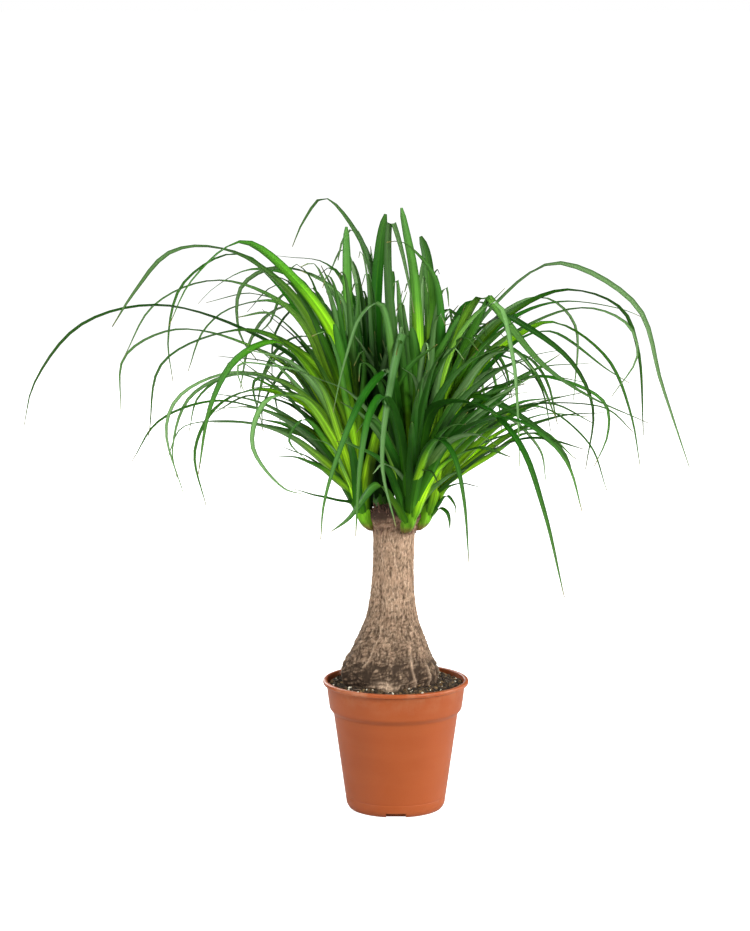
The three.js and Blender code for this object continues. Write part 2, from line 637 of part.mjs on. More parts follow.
// Assembly

const plant = new THREE.Group();
const trunk = trunkSolid(0);
const trunkHole = trunkSolid(CLEARANCE);
plant.add(meshFrom("pot", potSolid(), potPlastic));
plant.add(meshFrom("soil", tidied(soilSolid(trunkHole)), pottingMix));
plant.add(meshFrom("trunk", trunk, bark));
Object.keys(HEADS).forEach((name, i) => {
  const seated = headSolid(name, 4057 + 131 * i).subtract(trunkHole);
  plant.add(meshFrom(name, tidied(seated), foliage));
});

export default plant;
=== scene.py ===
"""A ponytail palm with five leafy heads on a swollen trunk, in a nursery pot: its looks, round its solids."""

from collections import namedtuple
from math import atan2, cos, degrees, exp, hypot, pi, sin, sqrt

import bmesh
import bpy
import numpy as np
from mathutils import Matrix, Vector, noise


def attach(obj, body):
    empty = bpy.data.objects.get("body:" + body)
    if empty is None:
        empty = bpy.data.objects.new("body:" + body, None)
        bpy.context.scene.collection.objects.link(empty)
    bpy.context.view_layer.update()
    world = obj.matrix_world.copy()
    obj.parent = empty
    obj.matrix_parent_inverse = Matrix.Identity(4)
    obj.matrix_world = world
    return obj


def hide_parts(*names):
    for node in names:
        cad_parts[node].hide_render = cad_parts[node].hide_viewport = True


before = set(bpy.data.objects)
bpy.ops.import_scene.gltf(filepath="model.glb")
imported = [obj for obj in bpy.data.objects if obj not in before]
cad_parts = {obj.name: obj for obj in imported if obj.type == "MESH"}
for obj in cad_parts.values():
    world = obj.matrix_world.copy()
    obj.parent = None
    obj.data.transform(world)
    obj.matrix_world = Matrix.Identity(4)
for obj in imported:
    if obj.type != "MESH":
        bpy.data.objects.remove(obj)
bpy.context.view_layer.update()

# Sizes are in millimetres, as in the part's source, and meshes are made in metres
METRE = 0.001
BODY = "root"
GAP = 0.3
PIN_RADIUS = 0.01

POT_HEIGHT = 126
LIP_RADIUS = 70
LIP_DEPTH = 5
BAND_TOP_RADIUS = 66.7
BAND_FOOT_RADIUS = 63.7
BAND_FOOT_HEIGHT = 98
SHOULDER_HEIGHT = 94
BODY_TOP_RADIUS = 60.5
BODY_FOOT_RADIUS = 47.4
FOOT_ROUNDING = 4
GROOVE_HEIGHT = 12.5
WALL = 1.5
GATE_PAD_RADIUS = 12
FOOT_RING_WIDTH = 8
FOOT_RECESS = 0.8
DRAIN_COUNT = 4
DRAIN_WIDTH = 19
DRAIN_HEIGHT = 4.5
DRAIN_INNER_RADIUS = 39
POT_SIDES = 160

SOIL_HEIGHT = 120.6
SOIL_MOUND = 8
SOIL_ROUGHNESS = 0.5
SOIL_SEED = 14
CRUMB_COUNT = 1300
PERLITE_COUNT = 60
FIBRE_COUNT = 130
FIBRE_RADIUS = 0.42

TRUNK_FOOT_AXIS = -5.8
TRUNK_TOP_AXIS = -1.2
TRUNK_SPREAD_HEIGHT = 128
TRUNK_HEIGHT = 293
COLLAR_HEIGHT = 286
BARK_FOOT_HEIGHT = 108
BARK_SIDES = 240
BARK_STEP = 0.75

# Heights over which parts of the bark's relief fade out, and over which its rough top fades in
SKIRT_FADE = (140, 172)
WAIST_FADE = (165, 235)
WRINKLES_FADE = (146, 158)
TOP_FADE = (262, 282)
CRACK_WIDTH = 0.2

# A pale scar low on the front: its plan angle and height, each with its half width
SCAR_ANGLE, SCAR_HALF_ANGLE = 263, 15
SCAR_HEIGHT, SCAR_HALF_HEIGHT = 128, 6

CORE_CIRCLE_RADIUS = 27
CORE_FOOT_HEIGHT = 272
CORE_LENGTH = 78
CORE_LEAN = 0.2
CORE_SIDES = 48
CORE_ROWS = 48
STUB_TUCK = 5

BLADE_ROWS = 34
NEST_ROWS = 26
KEEL_SHARE = 0.18
BLADE_THICKNESS = 0.6
BORDER_MARGIN = 7
FILLING_MARGIN = 9
UPWARD_STRIDE = 0.35
TURN = 0.9
LIME_REACH = 255
LIME_SHARE = 0.62
WRAP_COUNT = 10
NEST_COUNT = 24
# Across place of the middle of the crown's front hollow, whose leaves get painted shade
SHADED_HOLLOW_ACROSS = -11

HEAD_SEED = 4057
HEAD_SEED_STEP = 131
LOOKS_SEED = 977
SHRED_SEED = 31

# The eye from which the leaves' places are given, which is also the camera's place
EYE_ACROSS = -20
EYE_DISTANCE = 3000
EYE_HEIGHT = 800
AIM_HEIGHT = 334.1
PICTURE_HEIGHT_PX = 931
FOCAL_PX = 3183
SENSOR_MM = 36

# Area lights: name, place and size in metres, power and colour
LIGHTS = [
    ("key", (2.4, -2.2, 1.5), 1.3, 160, (1, 0.99, 0.97)),
    ("top", (-0.7, -1.3, 2.1), 0.7, 36, (1, 1, 1)),
    ("fill", (-2.7, -1.3, 0.6), 1.2, 52, (1, 1, 1)),
    ("side", (2.9, 0.3, 0.7), 1.2, 62, (1, 1, 1)),
    ("back", (-1.2, 2.8, 1.5), 1.6, 85, (1, 1, 1)),
]
LIGHTS_AIM = (0, 0, 0.33)
SKY_POWER = 0.4
SKY_SPREAD = 70
SKY_TILT = (14, 12)
WORLD_LIGHT = 0.04

# Trunk radii by height
TRUNK_PROFILE = [
    [74, 14], [84, 26], [96, 33.5], [108, 39], [118, 42.3], [127, 45], [134, 46.6], [141, 44.7],
    [148, 41.4], [155, 38], [162, 35], [169, 31.9], [182, 26.4], [196, 23], [212, 21], [232, 19.8],
    [252, 19.5], [268, 19.9], [279, 21.8], [287, 24], [TRUNK_HEIGHT - 1.5, 22.5], [TRUNK_HEIGHT, 14],
]

# Ridges of old roots round the caudex: heights, plan angles and half width in degrees
ROOT_RIDGES = [
    ((108, 124, 145, 161, 172), (311, 305, 300, 303, 302), 2.0),
    ((138, 156, 172, 186), (229, 238, 247, 250), 1.4),
    ((118, 124, 134), (266, 270, 263), 7.0),
    ((110, 128, 150), (330, 322, 318), 2.4),
    ((112, 132, 156, 178), (20, 28, 30, 38), 3.2),
    ((108, 130, 160), (75, 66, 70), 3.4),
    ((116, 140, 170, 200), (128, 133, 126, 131), 2.6),
    ((110, 134, 158), (182, 176, 184), 3.2),
]

# Core radii by share of its length
CORE_PROFILE = [[0, 3.4], [0.05, 5.9], [0.13, 7.2], [0.22, 7.6], [0.4, 8], [0.6, 6], [0.8, 4], [1, 2]]

# Dry shreds outside the collar and inside it: how many, then least and most of height, length, width
# and depth inwards
SHREDS = [
    (110, (272, 291), (4, 9), (1.2, 3.2), None),
    (100, (286, 294), (6, 15), (0.8, 2), (0.6, 8)),
]

# Heads: plan angle of the core, the plan angles between which its leaves keep, the height that its
# upright leaves reach and the numbers of filling leaves, as in the part's source. Then its leaves'
# freshness, 0 to 1, the freshest being lime near the foot; on its core a low value gives painted shade,
# a near-black green. Then the plan angles between which its inner leaves set out. Those leave a hollow
# in front, between the left head and the front one.
Head = namedtuple("Head", "at start end top filling fresh nest")
HEADS = {
    "left": Head(190, 157.5, 240, 540, (4, 1, 0), 0.68, (143, 212)),
    "front": Head(297, 240, 328, 480, (6, 3, 0), 0.35, (266, 342)),
    "right": Head(355, 328, 387.5, 485, (5, 0, 0), 0.75, (314, 401)),
    "back_right": Head(52, 27.5, 80, 535, (5, 5, 2), 0.3, (13, 94)),
    "back_left": Head(115, 80, 157.5, 545, (6, 6, 3), 0.1, (66, 171)),
}

# Filling leaves by kind: least and most of their reach, of the crown's drop below the head's top, and
# of the tip's fall
FILLING = [
    ("upright", (40, 105), (0, 75), (4, 40)),
    ("arching", (190, 270), (55, 110), (70, 130)),
    ("hanging", (110, 190), (90, 140), (50, 80)),
]

# Points across a blade, from edge to edge in half widths
SPOTS = np.array([-1, -0.68, -0.3, 0, 0.3, 0.68, 1])

# Leaves that make the plant's outline, by head: blade width, depth of the tip behind the trunk (minus is
# in front), and the places that the leaf passes as across,up seen from the eye point above. A trimmed
# leaf had its tip cut off by the grower and ends bluntly.
LEAVES = {}
LEAVES["left"] = [
    (13, -50, -58,422, -98,497, -158,541, -213,538, -248,500, -269,467),
    (12, -90, -53,446, -92,508, -147,548, -193,512, -215,468),
    (7.5, 40, -70,440, -115,512, -152,537, -202,508, -216,455, -212,414),
    (8, 20, -85,465, -117,496, -171,512, -230,487, -259,437),
    (9, -20, -77,417, -115,450, -215,488, -299,469, -344,413, -354,372),
    (8, 50, -91,420, -145,452, -210,465, -258,438, -262,388),
    (10, -80, -61,409, -97,447, -150,465, -222,432, -236,362),
    (8, -165, -77,418, -118,430, -148,432, -151,426, -145,406),
    (8, -110, -66,381, -110,416, -150,425, -206,401, -219,370, -203,307),
    (7, -40, -90,404, -150,422, -196,400, -213,350, -209,322),
    (7, 30, -75,380, -114,409, -153,422, -188,400, -197,367),
    (9, 60, -72,384, -131,408, -171,390, -192,348, -181,294),
    (8.5, -120, -60,360, -90,400, -124,396, -137,354, -107,312, -90,307),
    (8, -70, -78,367, -131,390, -172,397, -227,376, -252,338),
    (8, 10, -63,350, -107,369, -165,377, -204,371, -218,340),
    (7, -60, -66,356, -88,379, -102,359, -85,339),
    (7, 25, -53,330, -88,354),
    (5, -50, -63,354, -85,362),
    (6, -30, -40,297, -66,303, -97,311),
    (11, 9, -45,450, -46,500, -47,545, -47,562, "trimmed"),
    (12, -40, -44,380, -60,430, -84,486, -104,512, -122,516),
    (11, -75, -46,370, -62,410, -90,455, -118,480, -150,476),
    (12, -50, -38,360, -46,400, -53,445, -58,470, "trimmed"),
    (12, -45, -50,445, -60,488, -67,508, -78,528, -90,524),
    (8, 5, -50,492, -64,507, -90,520),
]
LEAVES["back_left"] = [
    (10, 60, -18,500, -33,548, -68,590, -87,568, -98,543),
    (12, 75, -19,450, -20,505, -29,538, -40,560, -50,550, -55,530),
    (10, 40, -19,380, -22,440, -24,500, -28,520, -33,505),
    (8, 120, -40,520, -50,542, -65,513),
    (7, 95, -45,505, -69,529, -100,533, -117,535),
    (9, 90, -64,507, -113,524, -147,504, -148,460, -131,434),
    (7, 140, -70,480, -92,487, -115,460, -118,412),
    (7, 110, -80,500, -114,507, -141,481),
    (8, 140, -90,510, -136,522, -174,503, -188,489),
    (7, 170, -90,480, -136,499, -150,498, -180,490),
    (7, 200, -75,480, -106,499, -120,471, -139,454),
    (7, 160, -80,400, -110,418, -135,415, -126,367),
    (7, 180, -80,395, -114,406, -110,375),
    (7, 120, -60,430, -90,440, -126,394, -127,368),
    (13, 45, -21,440, -18,510, -14,555, -10,574, "trimmed"),
    (12, 80, -9,430, -7,480, -3,520, "trimmed"),
    (12, 50, -12,350, -14,390, -16,430, -22,440, -30,425),
    (10, 60, -8,380, -12,440, -20,472, -30,455),
]
LEAVES["back_right"] = [
    (14, 50, 33,450, 32,500, 28,538, 23,553, "trimmed"),
    (8, 60, 21,440, 32,463, 51,470),
    (8, 120, 60,400, 81,418, 129,440, 158,445),
    (7, 135, 90,470, 138,496, 169,470, 169,397),
    (7, 165, 80,420, 123,459, 147,463, 200,427, 221,414),
]
LEAVES["front"] = [
    (11, -90, -2,450, -8,530, -5,570, 3,548, 12,508, 17,480),
    (12, -55, 21,450, 17,515, 10,555, 5,580, "trimmed"),
    (11, -75, 37,400, 43,465, 37,512, 22,535, 5,548, -9,547),
    (8, -140, -16,490, -34,477, -48,437, -60,385),
    (9, -165, -7,425, -29,404, -53,351, -69,296, -72,262),
    (10, -120, 13,430, 8,463, -6,407, -13,334, 0,275),
    (14, -70, 18,370, 20,420, 15,466, "trimmed"),
    (12, -90, 24,390, 32,430, 37,470, 41,480, 47,468),
    (11, -75, 8,350, 0,385, -6,420, -11,428, -18,412),
    (9, -130, -17,316, -45,283, -62,270),
    (7, -105, -12,337, -47,356, -62,358),
    (6, -50, -6,372, 2,388, 12,391, 24,386),
    (13, -60, 25,390, 38,436, 60,478, "trimmed"),
    (7, -105, 60,460, 95,490, 111,437, 115,400, 118,333),
    (10, -200, 33,387, 55,397, 87,389, 120,352, 142,289, 162,206),
]
LEAVES["right"] = [
    (11, -115, 57,458, 83,498, 104,473, 138,432, 180,403, 240,375),
    (7, -50, 43,484, 69,466, 103,421, 108,399),
    (9, 40, 50,406, 99,473, 163,503, 213,485, 229,447, 236,363),
    (9, -20, 60,440, 96,492, 149,528, 227,488, 252,414, 280,332),
    (8, 85, 80,450, 118,480, 163,492, 213,484, 233,476),
    (8, -80, 85,440, 125,469, 180,486, 220,469, 229,440, 205,400),
    (8, 60, 80,430, 115,459, 149,472, 199,439, 224,382, 233,333),
    (8, -80, 60,440, 98,478, 124,467, 167,433, 187,390, 181,330),
    (11, -70, 66,411, 104,449, 131,425, 153,378),
    (13, -60, 42,390, 58,440, 80,496, "trimmed"),
    (12, -70, 44,370, 64,410, 90,440, 112,444, 132,424),
    (8, -100, 62,362, 107,387, 150,395, 200,389, 226,366),
    (7, 65, 60,360, 95,380, 138,391, 184,355, 202,309),
    (8, -20, 67,398, 115,416, 143,420, 198,395, 202,365, 189,333),
    (9, -60, 35,305, 91,345, 130,366, 163,339, 170,318),
    (7, 35, 47,334, 98,362, 135,369, 172,340),
    (9, -85, 50,385, 75,401, 110,387, 160,347, 170,320),
    (7, 30, 60,360, 98,383, 137,350, 143,320),
    (6, -25, 35,377, 45,381, 60,370, 65,350),
    (6, 20, 45,350, 62,370, 77,379, 90,365),
    (6, -25, 50,314, 66,317, 80,313),
    (5, -20, 49,305, 57,294, 57,288),
    (6, -12, 40,293, 49,289, 52,272),
]

# Leaves inside that outline which show from the front
INNER_LEAVES = {}
INNER_LEAVES["left"] = [
    (11, 40, -36,400, -38,450, -36,500, -38,512, -42,500),
    (10, -70, -40,360, -48,400, -56,440, -66,462, -80,458),
    (10, 20, -48,350, -72,392, -100,430, -136,446, -160,432),
    (9, -60, -36,340, -34,380, -30,430, -32,446, -40,430),
]
INNER_LEAVES["back_left"] = [
    (11, 110, -30,420, -38,470, -50,510, -62,524, -76,512),
    (10, 130, -34,410, -48,450, -70,490, -90,500, -104,484),
    (11, 70, -16,370, -19,410, -24,450, -30,462, -37,446),
    (11, 90, -9,350, -4,400, 0,440, 2,455, 5,440),
    (11, 45, -14,340, -18,370, -22,400, -26,408, -31,395),
    (12, 80, -10,360, -9,410, -9,460, -8,476, -6,460),
    (10, 30, -9,340, -5,365, -6,390, -9,397, -14,385),
    (10, 35, -6,305, -1,335, 2,375, 3,392, 6,380),
    (11, 30, -8,300, -6,330, -10,365, -16,378, -22,366),
    (9, 45, -10,320, -3,360, 4,420, 8,440, 12,425),
]
INNER_LEAVES["back_right"] = [
    (10, 40, 6,300, 1,330, -4,370, -6,385, -10,372),
    (11, 50, 10,310, 8,350, 8,400, 10,420, 14,405),
    (12, 70, 22,430, 22,480, 24,520, 27,534, 31,520),
    (11, 60, 26,430, 30,470, 34,508, 38,516, 42,500),
    (10, 60, 30,420, 38,455, 44,480, 50,484, 56,470),
    (10, 95, 34,400, 52,440, 70,466, 88,470, 104,455),
    (11, 30, 14,380, 15,430, 14,480, 12,512, 8,500),
    (11, 40, 18,380, 22,430, 24,480, 26,516, 30,500),
]
INNER_LEAVES["front"] = [
    (12, -80, 10,370, 8,410, 6,446, 4,456, 0,440),
    (12, -45, 14,380, 10,430, 4,480, 0,514, -5,500),
    (11, -50, 16,380, 14,430, 9,470, 5,492, 0,482),
    (10, -70, 22,350, 36,400, 46,438, 54,448, 64,436),
    (10, -75, 6,340, 2,372, 0,402, -4,410, -10,396),
    (9, -100, 4,330, -6,352, -16,372, -26,380, -38,366),
    (8, -80, 8,318, 0,330, -12,336, -22,326),
    (8, -95, 16,318, 24,330, 34,328, 40,318),
]
INNER_LEAVES["right"] = [
    (12, -80, 38,380, 46,420, 56,450, 66,458, 78,444),
    (10, -30, 40,350, 58,390, 80,420, 100,428, 122,412),
]


# Shapes


def radians(angle):
    return angle * pi / 180


def around(count):
    return np.arange(count) * 2 * pi / count


def heading(angle):
    return np.array([cos(angle), sin(angle), 0])


def sideways(out):
    """The level direction at a right angle to this one."""
    return np.array([-out[1], out[0], 0])


def unit(vectors):
    return vectors / np.linalg.norm(vectors, axis=-1)[..., None]


def ring(axis, radius, angles, height):
    """Points round an upright axis at this x."""
    return np.stack(np.broadcast_arrays(axis + radius * np.cos(angles), radius * np.sin(angles), height), -1)


def turned_rings(outline, sides):
    """Rings round the Z axis for an outline of (radius, height)."""
    outline = np.asarray(outline, float)
    return ring(0, outline[:, :1], around(sides), outline[:, 1:])


def closed_rings(rings):
    """Points and faces of a closed skin over rings of points, capped with a fan at each end."""
    rings = np.asarray(rings, float)
    rows, sides = rings.shape[:2]
    row = np.arange(rows - 1)[:, None] * sides
    column = np.arange(sides)
    after = (column + 1) % sides
    quads = np.stack([row + column, row + after, row + sides + after, row + sides + column], -1)
    faces = quads.reshape(-1, 4).tolist()
    foot = rows * sides
    last = foot - sides
    for i in range(sides):
        after = (i + 1) % sides
        faces += [[foot, after, i], [foot + 1, last + i, last + after]]
    return np.concatenate([rings.reshape(-1, 3), [rings[0].mean(0), rings[-1].mean(0)]]), faces


def gathered(parts):
    """The points and faces of several skins as one."""
    points, faces = [], []
    first = 0
    for some, some_faces in parts:
        faces += [[index + first for index in face] for face in some_faces]
        points.append(some)
        first += len(some)
    return np.concatenate(points), faces


def added(name, data):
    thing = bpy.data.objects.new(name, data)
    bpy.context.scene.collection.objects.link(thing)
    return thing


def mesh_piece(name, skin, material, replaces=(), attributes=None, sharp_above=None):
    """A mesh from points in millimetres, riding on the body, with its attributes for the material."""
    points, faces = skin
    mesh = bpy.data.meshes.new(name)
    mesh.from_pydata((points * METRE).tolist(), [], [list(map(int, face)) for face in faces])
    mesh.polygons.foreach_set("use_smooth", np.ones(len(mesh.polygons), bool))
    for key, values in (attributes or {}).items():
        layer = mesh.attributes.new(key, "FLOAT", "POINT")
        layer.data.foreach_set("value", np.asarray(values, np.float32))
    if sharp_above:
        mesh.set_sharp_from_angle(angle=radians(sharp_above))
    mesh.materials.append(material)
    mesh.update()
    piece = added(name, mesh)
    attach(piece, BODY)
    for node in replaces:
        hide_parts(node)
    return piece


def eased(corners, steps=4):
    """An open outline with each corner (x, y, easing) rounded off over its easing length."""
    made = [corners[0][:2]]
    for before, corner, after in zip(corners, corners[1:], corners[2:]):
        at = np.array(corner[:2], float)
        legs = [np.array(other[:2], float) - at for other in (before, after)]
        start, end = (at + unit(leg) * min(corner[2], np.linalg.norm(leg) / 2) for leg in legs)
        for t in np.linspace(0, 1, steps + 1):
            made.append((1 - t) ** 2 * start + 2 * t * (1 - t) * at + t * t * end)
    return np.array([*made, corners[-1][:2]])


def along(pairs, x):
    """Value at x along (x, value) pairs, smooth between them."""
    at, value = np.asarray(pairs, float).T
    index = np.arange(len(at))
    low, high = np.maximum(index - 1, 0), np.minimum(index + 1, len(at) - 1)
    slopes = (value[high] - value[low]) / (at[high] - at[low])
    i = np.clip(np.searchsorted(at, x), 1, len(at) - 1)
    step = at[i] - at[i - 1]
    t = np.clip((x - at[i - 1]) / step, 0, 1)
    rising = (2 * t**3 - 3 * t**2 + 1) * value[i - 1] + (t**3 - 2 * t**2 + t) * step * slopes[i - 1]
    return rising + (3 * t**2 - 2 * t**3) * value[i] + (t**3 - t**2) * step * slopes[i]


def travelled(points):
    """Distance along a row of points, at each of them."""
    return np.cumsum(np.linalg.norm(np.diff(points, axis=0, prepend=points[:1]), axis=1))


def smooth_step(low, high, x):
    """From 0 at low to 1 at high, and level beyond."""
    t = np.clip((x - low) / (high - low), 0, 1)
    return t * t * (3 - 2 * t)


def draws_from(seed):
    """Seeded draws, the same as in the part's source."""
    state = seed

    def draw(low, high):
        nonlocal state
        state = state * 16807 % 2147483647
        return low + (high - low) * state / 2147483647

    return draw


# Materials


class Shader:
    """Nodes of a material or the world. An input given as a word is the mesh's attribute of that name, and
    the colour takes one coat after another."""

    def __init__(self, owner):
        self.owner = owner
        owner.use_nodes = True
        self.nodes, self.links = owner.node_tree.nodes, owner.node_tree.links
        self.place = self.nodes.new("ShaderNodeTexCoord").outputs["Object"]

    def set(self, socket, value):
        if isinstance(value, str):
            attribute = self.nodes.new("ShaderNodeAttribute")
            attribute.attribute_name = value
            value = attribute.outputs["Fac"]
        if isinstance(value, bpy.types.NodeSocket):
            self.links.new(value, socket)
        elif value is not None:
            socket.default_value = value

    def node(self, kind, **inputs):
        made = self.nodes.new("ShaderNode" + kind)
        for key, value in inputs.items():
            self.set(made.inputs[key.replace("_", " ")], value)
        return made

    def stretched(self, vector, *scale):
        return self.node("Mapping", Vector=vector, Scale=scale).outputs["Vector"]

    def noise(self, scale, detail=3.0, roughness=0.5, upwards=None, vector=None):
        """Noise in space, drawn out upwards by a share below 1 and pressed flat by one above 1."""
        vector = self.stretched(self.place, 1, 1, upwards) if upwards else vector or self.place
        made = self.node("TexNoise", Scale=scale, Detail=detail, Roughness=roughness, Vector=vector)
        return made.outputs["Fac"]

    def ramp(self, factor, *stops):
        """A colour ramp over stops of position, red, green and blue."""
        made = self.node("ValToRGB", Fac=factor)
        elements = made.color_ramp.elements
        while len(elements) < len(stops):
            elements.new(0.5)
        for element, (position, *colour) in zip(elements, stops):
            element.position = position
            element.color = (*colour, 1)
        return made.outputs["Color"]

    def grey(self, factor, low, high, start=0.0, end=1.0):
        """From low to high while the factor runs from start to end."""
        made = self.node("MapRange", Value=factor, To_Min=low, To_Max=high, From_Min=start, From_Max=end)
        return made.outputs["Result"]

    def math(self, operation, first, second=0.0):
        made = self.node("Math")
        made.operation = operation
        self.set(made.inputs[0], first)
        self.set(made.inputs[1], second)
        return made.outputs["Value"]

    def mix(self, factor, first, second, blend="MIX"):
        made = self.node("Mix")
        made.data_type = "RGBA"
        made.blend_type = blend
        self.set(made.inputs["Factor"], factor)
        for socket, value in ((made.inputs[6], first), (made.inputs[7], second)):
            self.set(socket, (*value, 1) if isinstance(value, tuple) else value)
        return made.outputs[2]

    def coat(self, tint, mask, share=None):
        """Lays a tint over the colour where the mask says, or the mask times a share."""
        factor = self.math("MULTIPLY", mask, share) if share else mask
        self.colour = self.mix(factor, self.colour, tint)

    def shade(self, shade):
        self.colour = self.mix(1.0, self.colour, shade, "MULTIPLY")

    def bump(self, height, strength, distance, below=None):
        made = self.node("Bump", Height=height, Strength=strength, Distance=distance, Normal=below)
        return made.outputs["Normal"]

    def finish(self, roughness, normal=None, specular=0.5):
        inputs = self.nodes["Principled BSDF"].inputs
        self.set(inputs["Base Color"], self.colour)
        self.set(inputs["Roughness"], roughness)
        self.set(inputs["Specular IOR Level"], specular)
        self.set(inputs["Normal"], normal)
        return self.owner


def material(name):
    return Shader(bpy.data.materials.new(name))


def pot_plastic():
    """Satin terracotta-coloured plastic with faint flow marks, dust near the rim and fine scuffs."""
    look = material("pot_plastic")
    flow = look.noise(9, 3, upwards=6)
    look.colour = look.ramp(look.noise(14, 4), (0.3, 0.26, 0.052, 0.009), (0.7, 0.3, 0.064, 0.013))
    look.coat((0.35, 0.09, 0.024), look.grey(flow, 0, 0.3, 0.45, 0.75))
    look.coat((0.4, 0.2, 0.11), "rim", look.grey(look.noise(60, 5, 0.6), 0, 0.4, 0.45, 0.72))
    rough = look.grey(look.noise(40, 4), 0.36, 0.48)
    return look.finish(rough, look.bump(flow, 0.12, 0.001, look.bump(look.noise(900, 2), 0.12, 0.0004)), 0.3)


def potting_mix():
    """Dark moist peat with brown fibres: each crumb has its own shade."""
    look = material("potting_mix")
    damp = [(0.0, 0.012, 0.009, 0.006), (0.45, 0.035, 0.024, 0.014)]
    look.colour = look.ramp("tint", *damp, (0.75, 0.1, 0.06, 0.026), (1.0, 0.26, 0.175, 0.08))
    look.shade(look.grey(look.noise(1400, 3), 0.55, 1.5))
    return look.finish(0.9, look.bump(look.noise(1500, 4, 0.7), 0.6, 0.0006), 0.25)


def perlite():
    """White porous grains."""
    look = material("perlite")
    pores = look.node("TexVoronoi", Scale=2600, Vector=look.place).outputs["Distance"]
    look.colour = look.ramp(pores, (0.0, 0.36, 0.31, 0.22), (0.35, 0.66, 0.6, 0.47))
    return look.finish(0.85, look.bump(pores, 0.7, 0.0003))


def bark():
    """Pinkish beige bark with brown flecks and cream shreds, darker at the soil and reddish at the collar,
    with painted shade in its hollows and on its top between the heads.
    """
    look = material("bark")
    speckle = look.noise(640, 6, 0.72, 0.36)
    streak = look.noise(300, 5, 0.65, 0.1)
    stops = [
        (0.38, 0.085, 0.053, 0.034), (0.45, 0.22, 0.148, 0.097),
        (0.53, 0.36, 0.253, 0.172), (0.62, 0.68, 0.53, 0.395),
    ]
    look.colour = look.ramp(look.mix(0.4, speckle, streak), *stops)
    look.coat((0.23, 0.15, 0.1), look.grey(streak, 0, 0.55, 0.44, 0.68))
    look.coat((0.42, 0.27, 0.185), look.grey(look.noise(95, 4, 0.6), 0, 0.35, 0.45, 0.7))
    look.coat((0.1, 0.068, 0.044), "skirt", look.grey(look.noise(210, 6, 0.75, 0.36), 0.25, 1.3, 0.4, 0.6))
    look.coat((0.2, 0.105, 0.068), "collar", look.grey(look.noise(260, 5, 0.6, 2.2), 0.15, 0.9, 0.35, 0.6))
    look.coat((0.66, 0.5, 0.36), "pale", look.grey(speckle, 0.35, 0.95, 0.35, 0.6))
    # Painted shade: the trunk's top between the heads is painted nearly black
    look.coat((0.03, 0.014, 0.01), "cut")
    # Painted shade in the bark's pits, cracks and folds and in the top's hollow, strongest low on the caudex
    look.coat((0.032, 0.02, 0.012), "hollow_shade", look.grey("skirt", 0.7, 1.0))
    look.shade((0.96, 0.93, 0.9))
    return look.finish(0.88, look.bump(streak, 0.4, 0.0009, look.bump(speckle, 0.5, 0.0011)), 0.2)


def foliage():
    """Strap leaves: lime at the foot when young, then a deep green, with fine parallel veins, a pale rib,
    a paler under side and a dry brown tip. Waxy leaves are greyer with a painted sheen, and painted shade
    darkens the blades' edges and the crown's inside."""
    look = material("foliage")
    young = [
        (0.0, 0.09, 0.26, 0.006), (0.08, 0.15, 0.4, 0.006), (0.2, 0.45, 0.88, 0.016),
        (0.38, 0.32, 0.72, 0.011), (0.54, 0.07, 0.26, 0.008), (0.75, 0.038, 0.15, 0.018),
        (0.96, 0.056, 0.137, 0.026), (1.0, 0.2, 0.14, 0.05),
    ]
    deep = [
        (0.0, 0.05, 0.17, 0.005), (0.08, 0.02, 0.1, 0.002), (0.3, 0.004, 0.042, 0.001),
        (0.6, 0.011, 0.076, 0.005), (0.96, 0.052, 0.122, 0.027), (1.0, 0.18, 0.12, 0.045),
    ]
    lane = look.node("CombineXYZ", X="across", Y="along", Z="tint").outputs["Vector"]
    vein = look.noise(1.0, 3, 0.6, vector=look.stretched(lane, 9, 1.6, 40))
    look.colour = look.ramp("along", *deep)
    look.coat(look.ramp("along", *young), "fresh", look.grey(vein, 0.6, 1.0, 0.4, 0.55))
    look.shade(look.grey("tint", 0.5, 1.35))
    # Waxy bloom with painted sheen: these leaves are painted greyer towards their ends, as if catching a soft
    # reflection
    look.coat((0.18, 0.3, 0.13), "wax_and_sheen", look.grey("along", 0, 1, 0.2, 0.6))
    look.shade(look.grey(vein, 0.75, 1.35, 0.3, 0.7))
    off_rib = look.math("ABSOLUTE", "across")
    look.coat((0.07, 0.23, 0.01), look.grey(off_rib, 0.25, 0.0, 0.0, 0.12))
    # Painted shade: the blade's outer edges are darkened as if shaded by their neighbours
    look.coat((0.007, 0.05, 0.001), look.grey(off_rib, 0.0, 0.75, 0.45, 1.0))
    look.coat((0.06, 0.19, 0.025), "under", 0.12)
    # Painted shade: leaves inside the crown and in its front hollow are painted a near-black green
    look.coat((0.0025, 0.014, 0.001), look.grey("painted_shade", 0, 0.92))
    return look.finish(look.grey(look.noise(70, 3), 0.26, 0.4), look.bump(vein, 0.35, 0.0004), 0.05)


def sheath():
    """Swollen leaf feet, bright green with pale edges and a brown scar at the bottom. Cores with a low value
    get painted shade, a near-black green.
    """
    look = material("sheath")
    stops = [
        (0.0, 0.13, 0.055, 0.03), (0.05, 0.15, 0.13, 0.025), (0.11, 0.1, 0.27, 0.008),
        (0.25, 0.12, 0.34, 0.008), (0.5, 0.04, 0.17, 0.005), (1.0, 0.02, 0.1, 0.004),
    ]
    streak = look.noise(330, 4, 0.6, 0.12)
    look.colour = look.ramp("along", *stops)
    look.shade(look.grey(streak, 0.65, 1.3, 0.35, 0.65))
    look.coat((0.24, 0.42, 0.04), "across")
    # Painted shade: cores whose heads have little freshness, most of all the back left one, are painted
    # near-black green
    look.colour = look.mix("fresh", (0.012, 0.06, 0.002), look.colour)
    return look.finish(0.4, look.bump(streak, 0.3, 0.0005), 0.1)


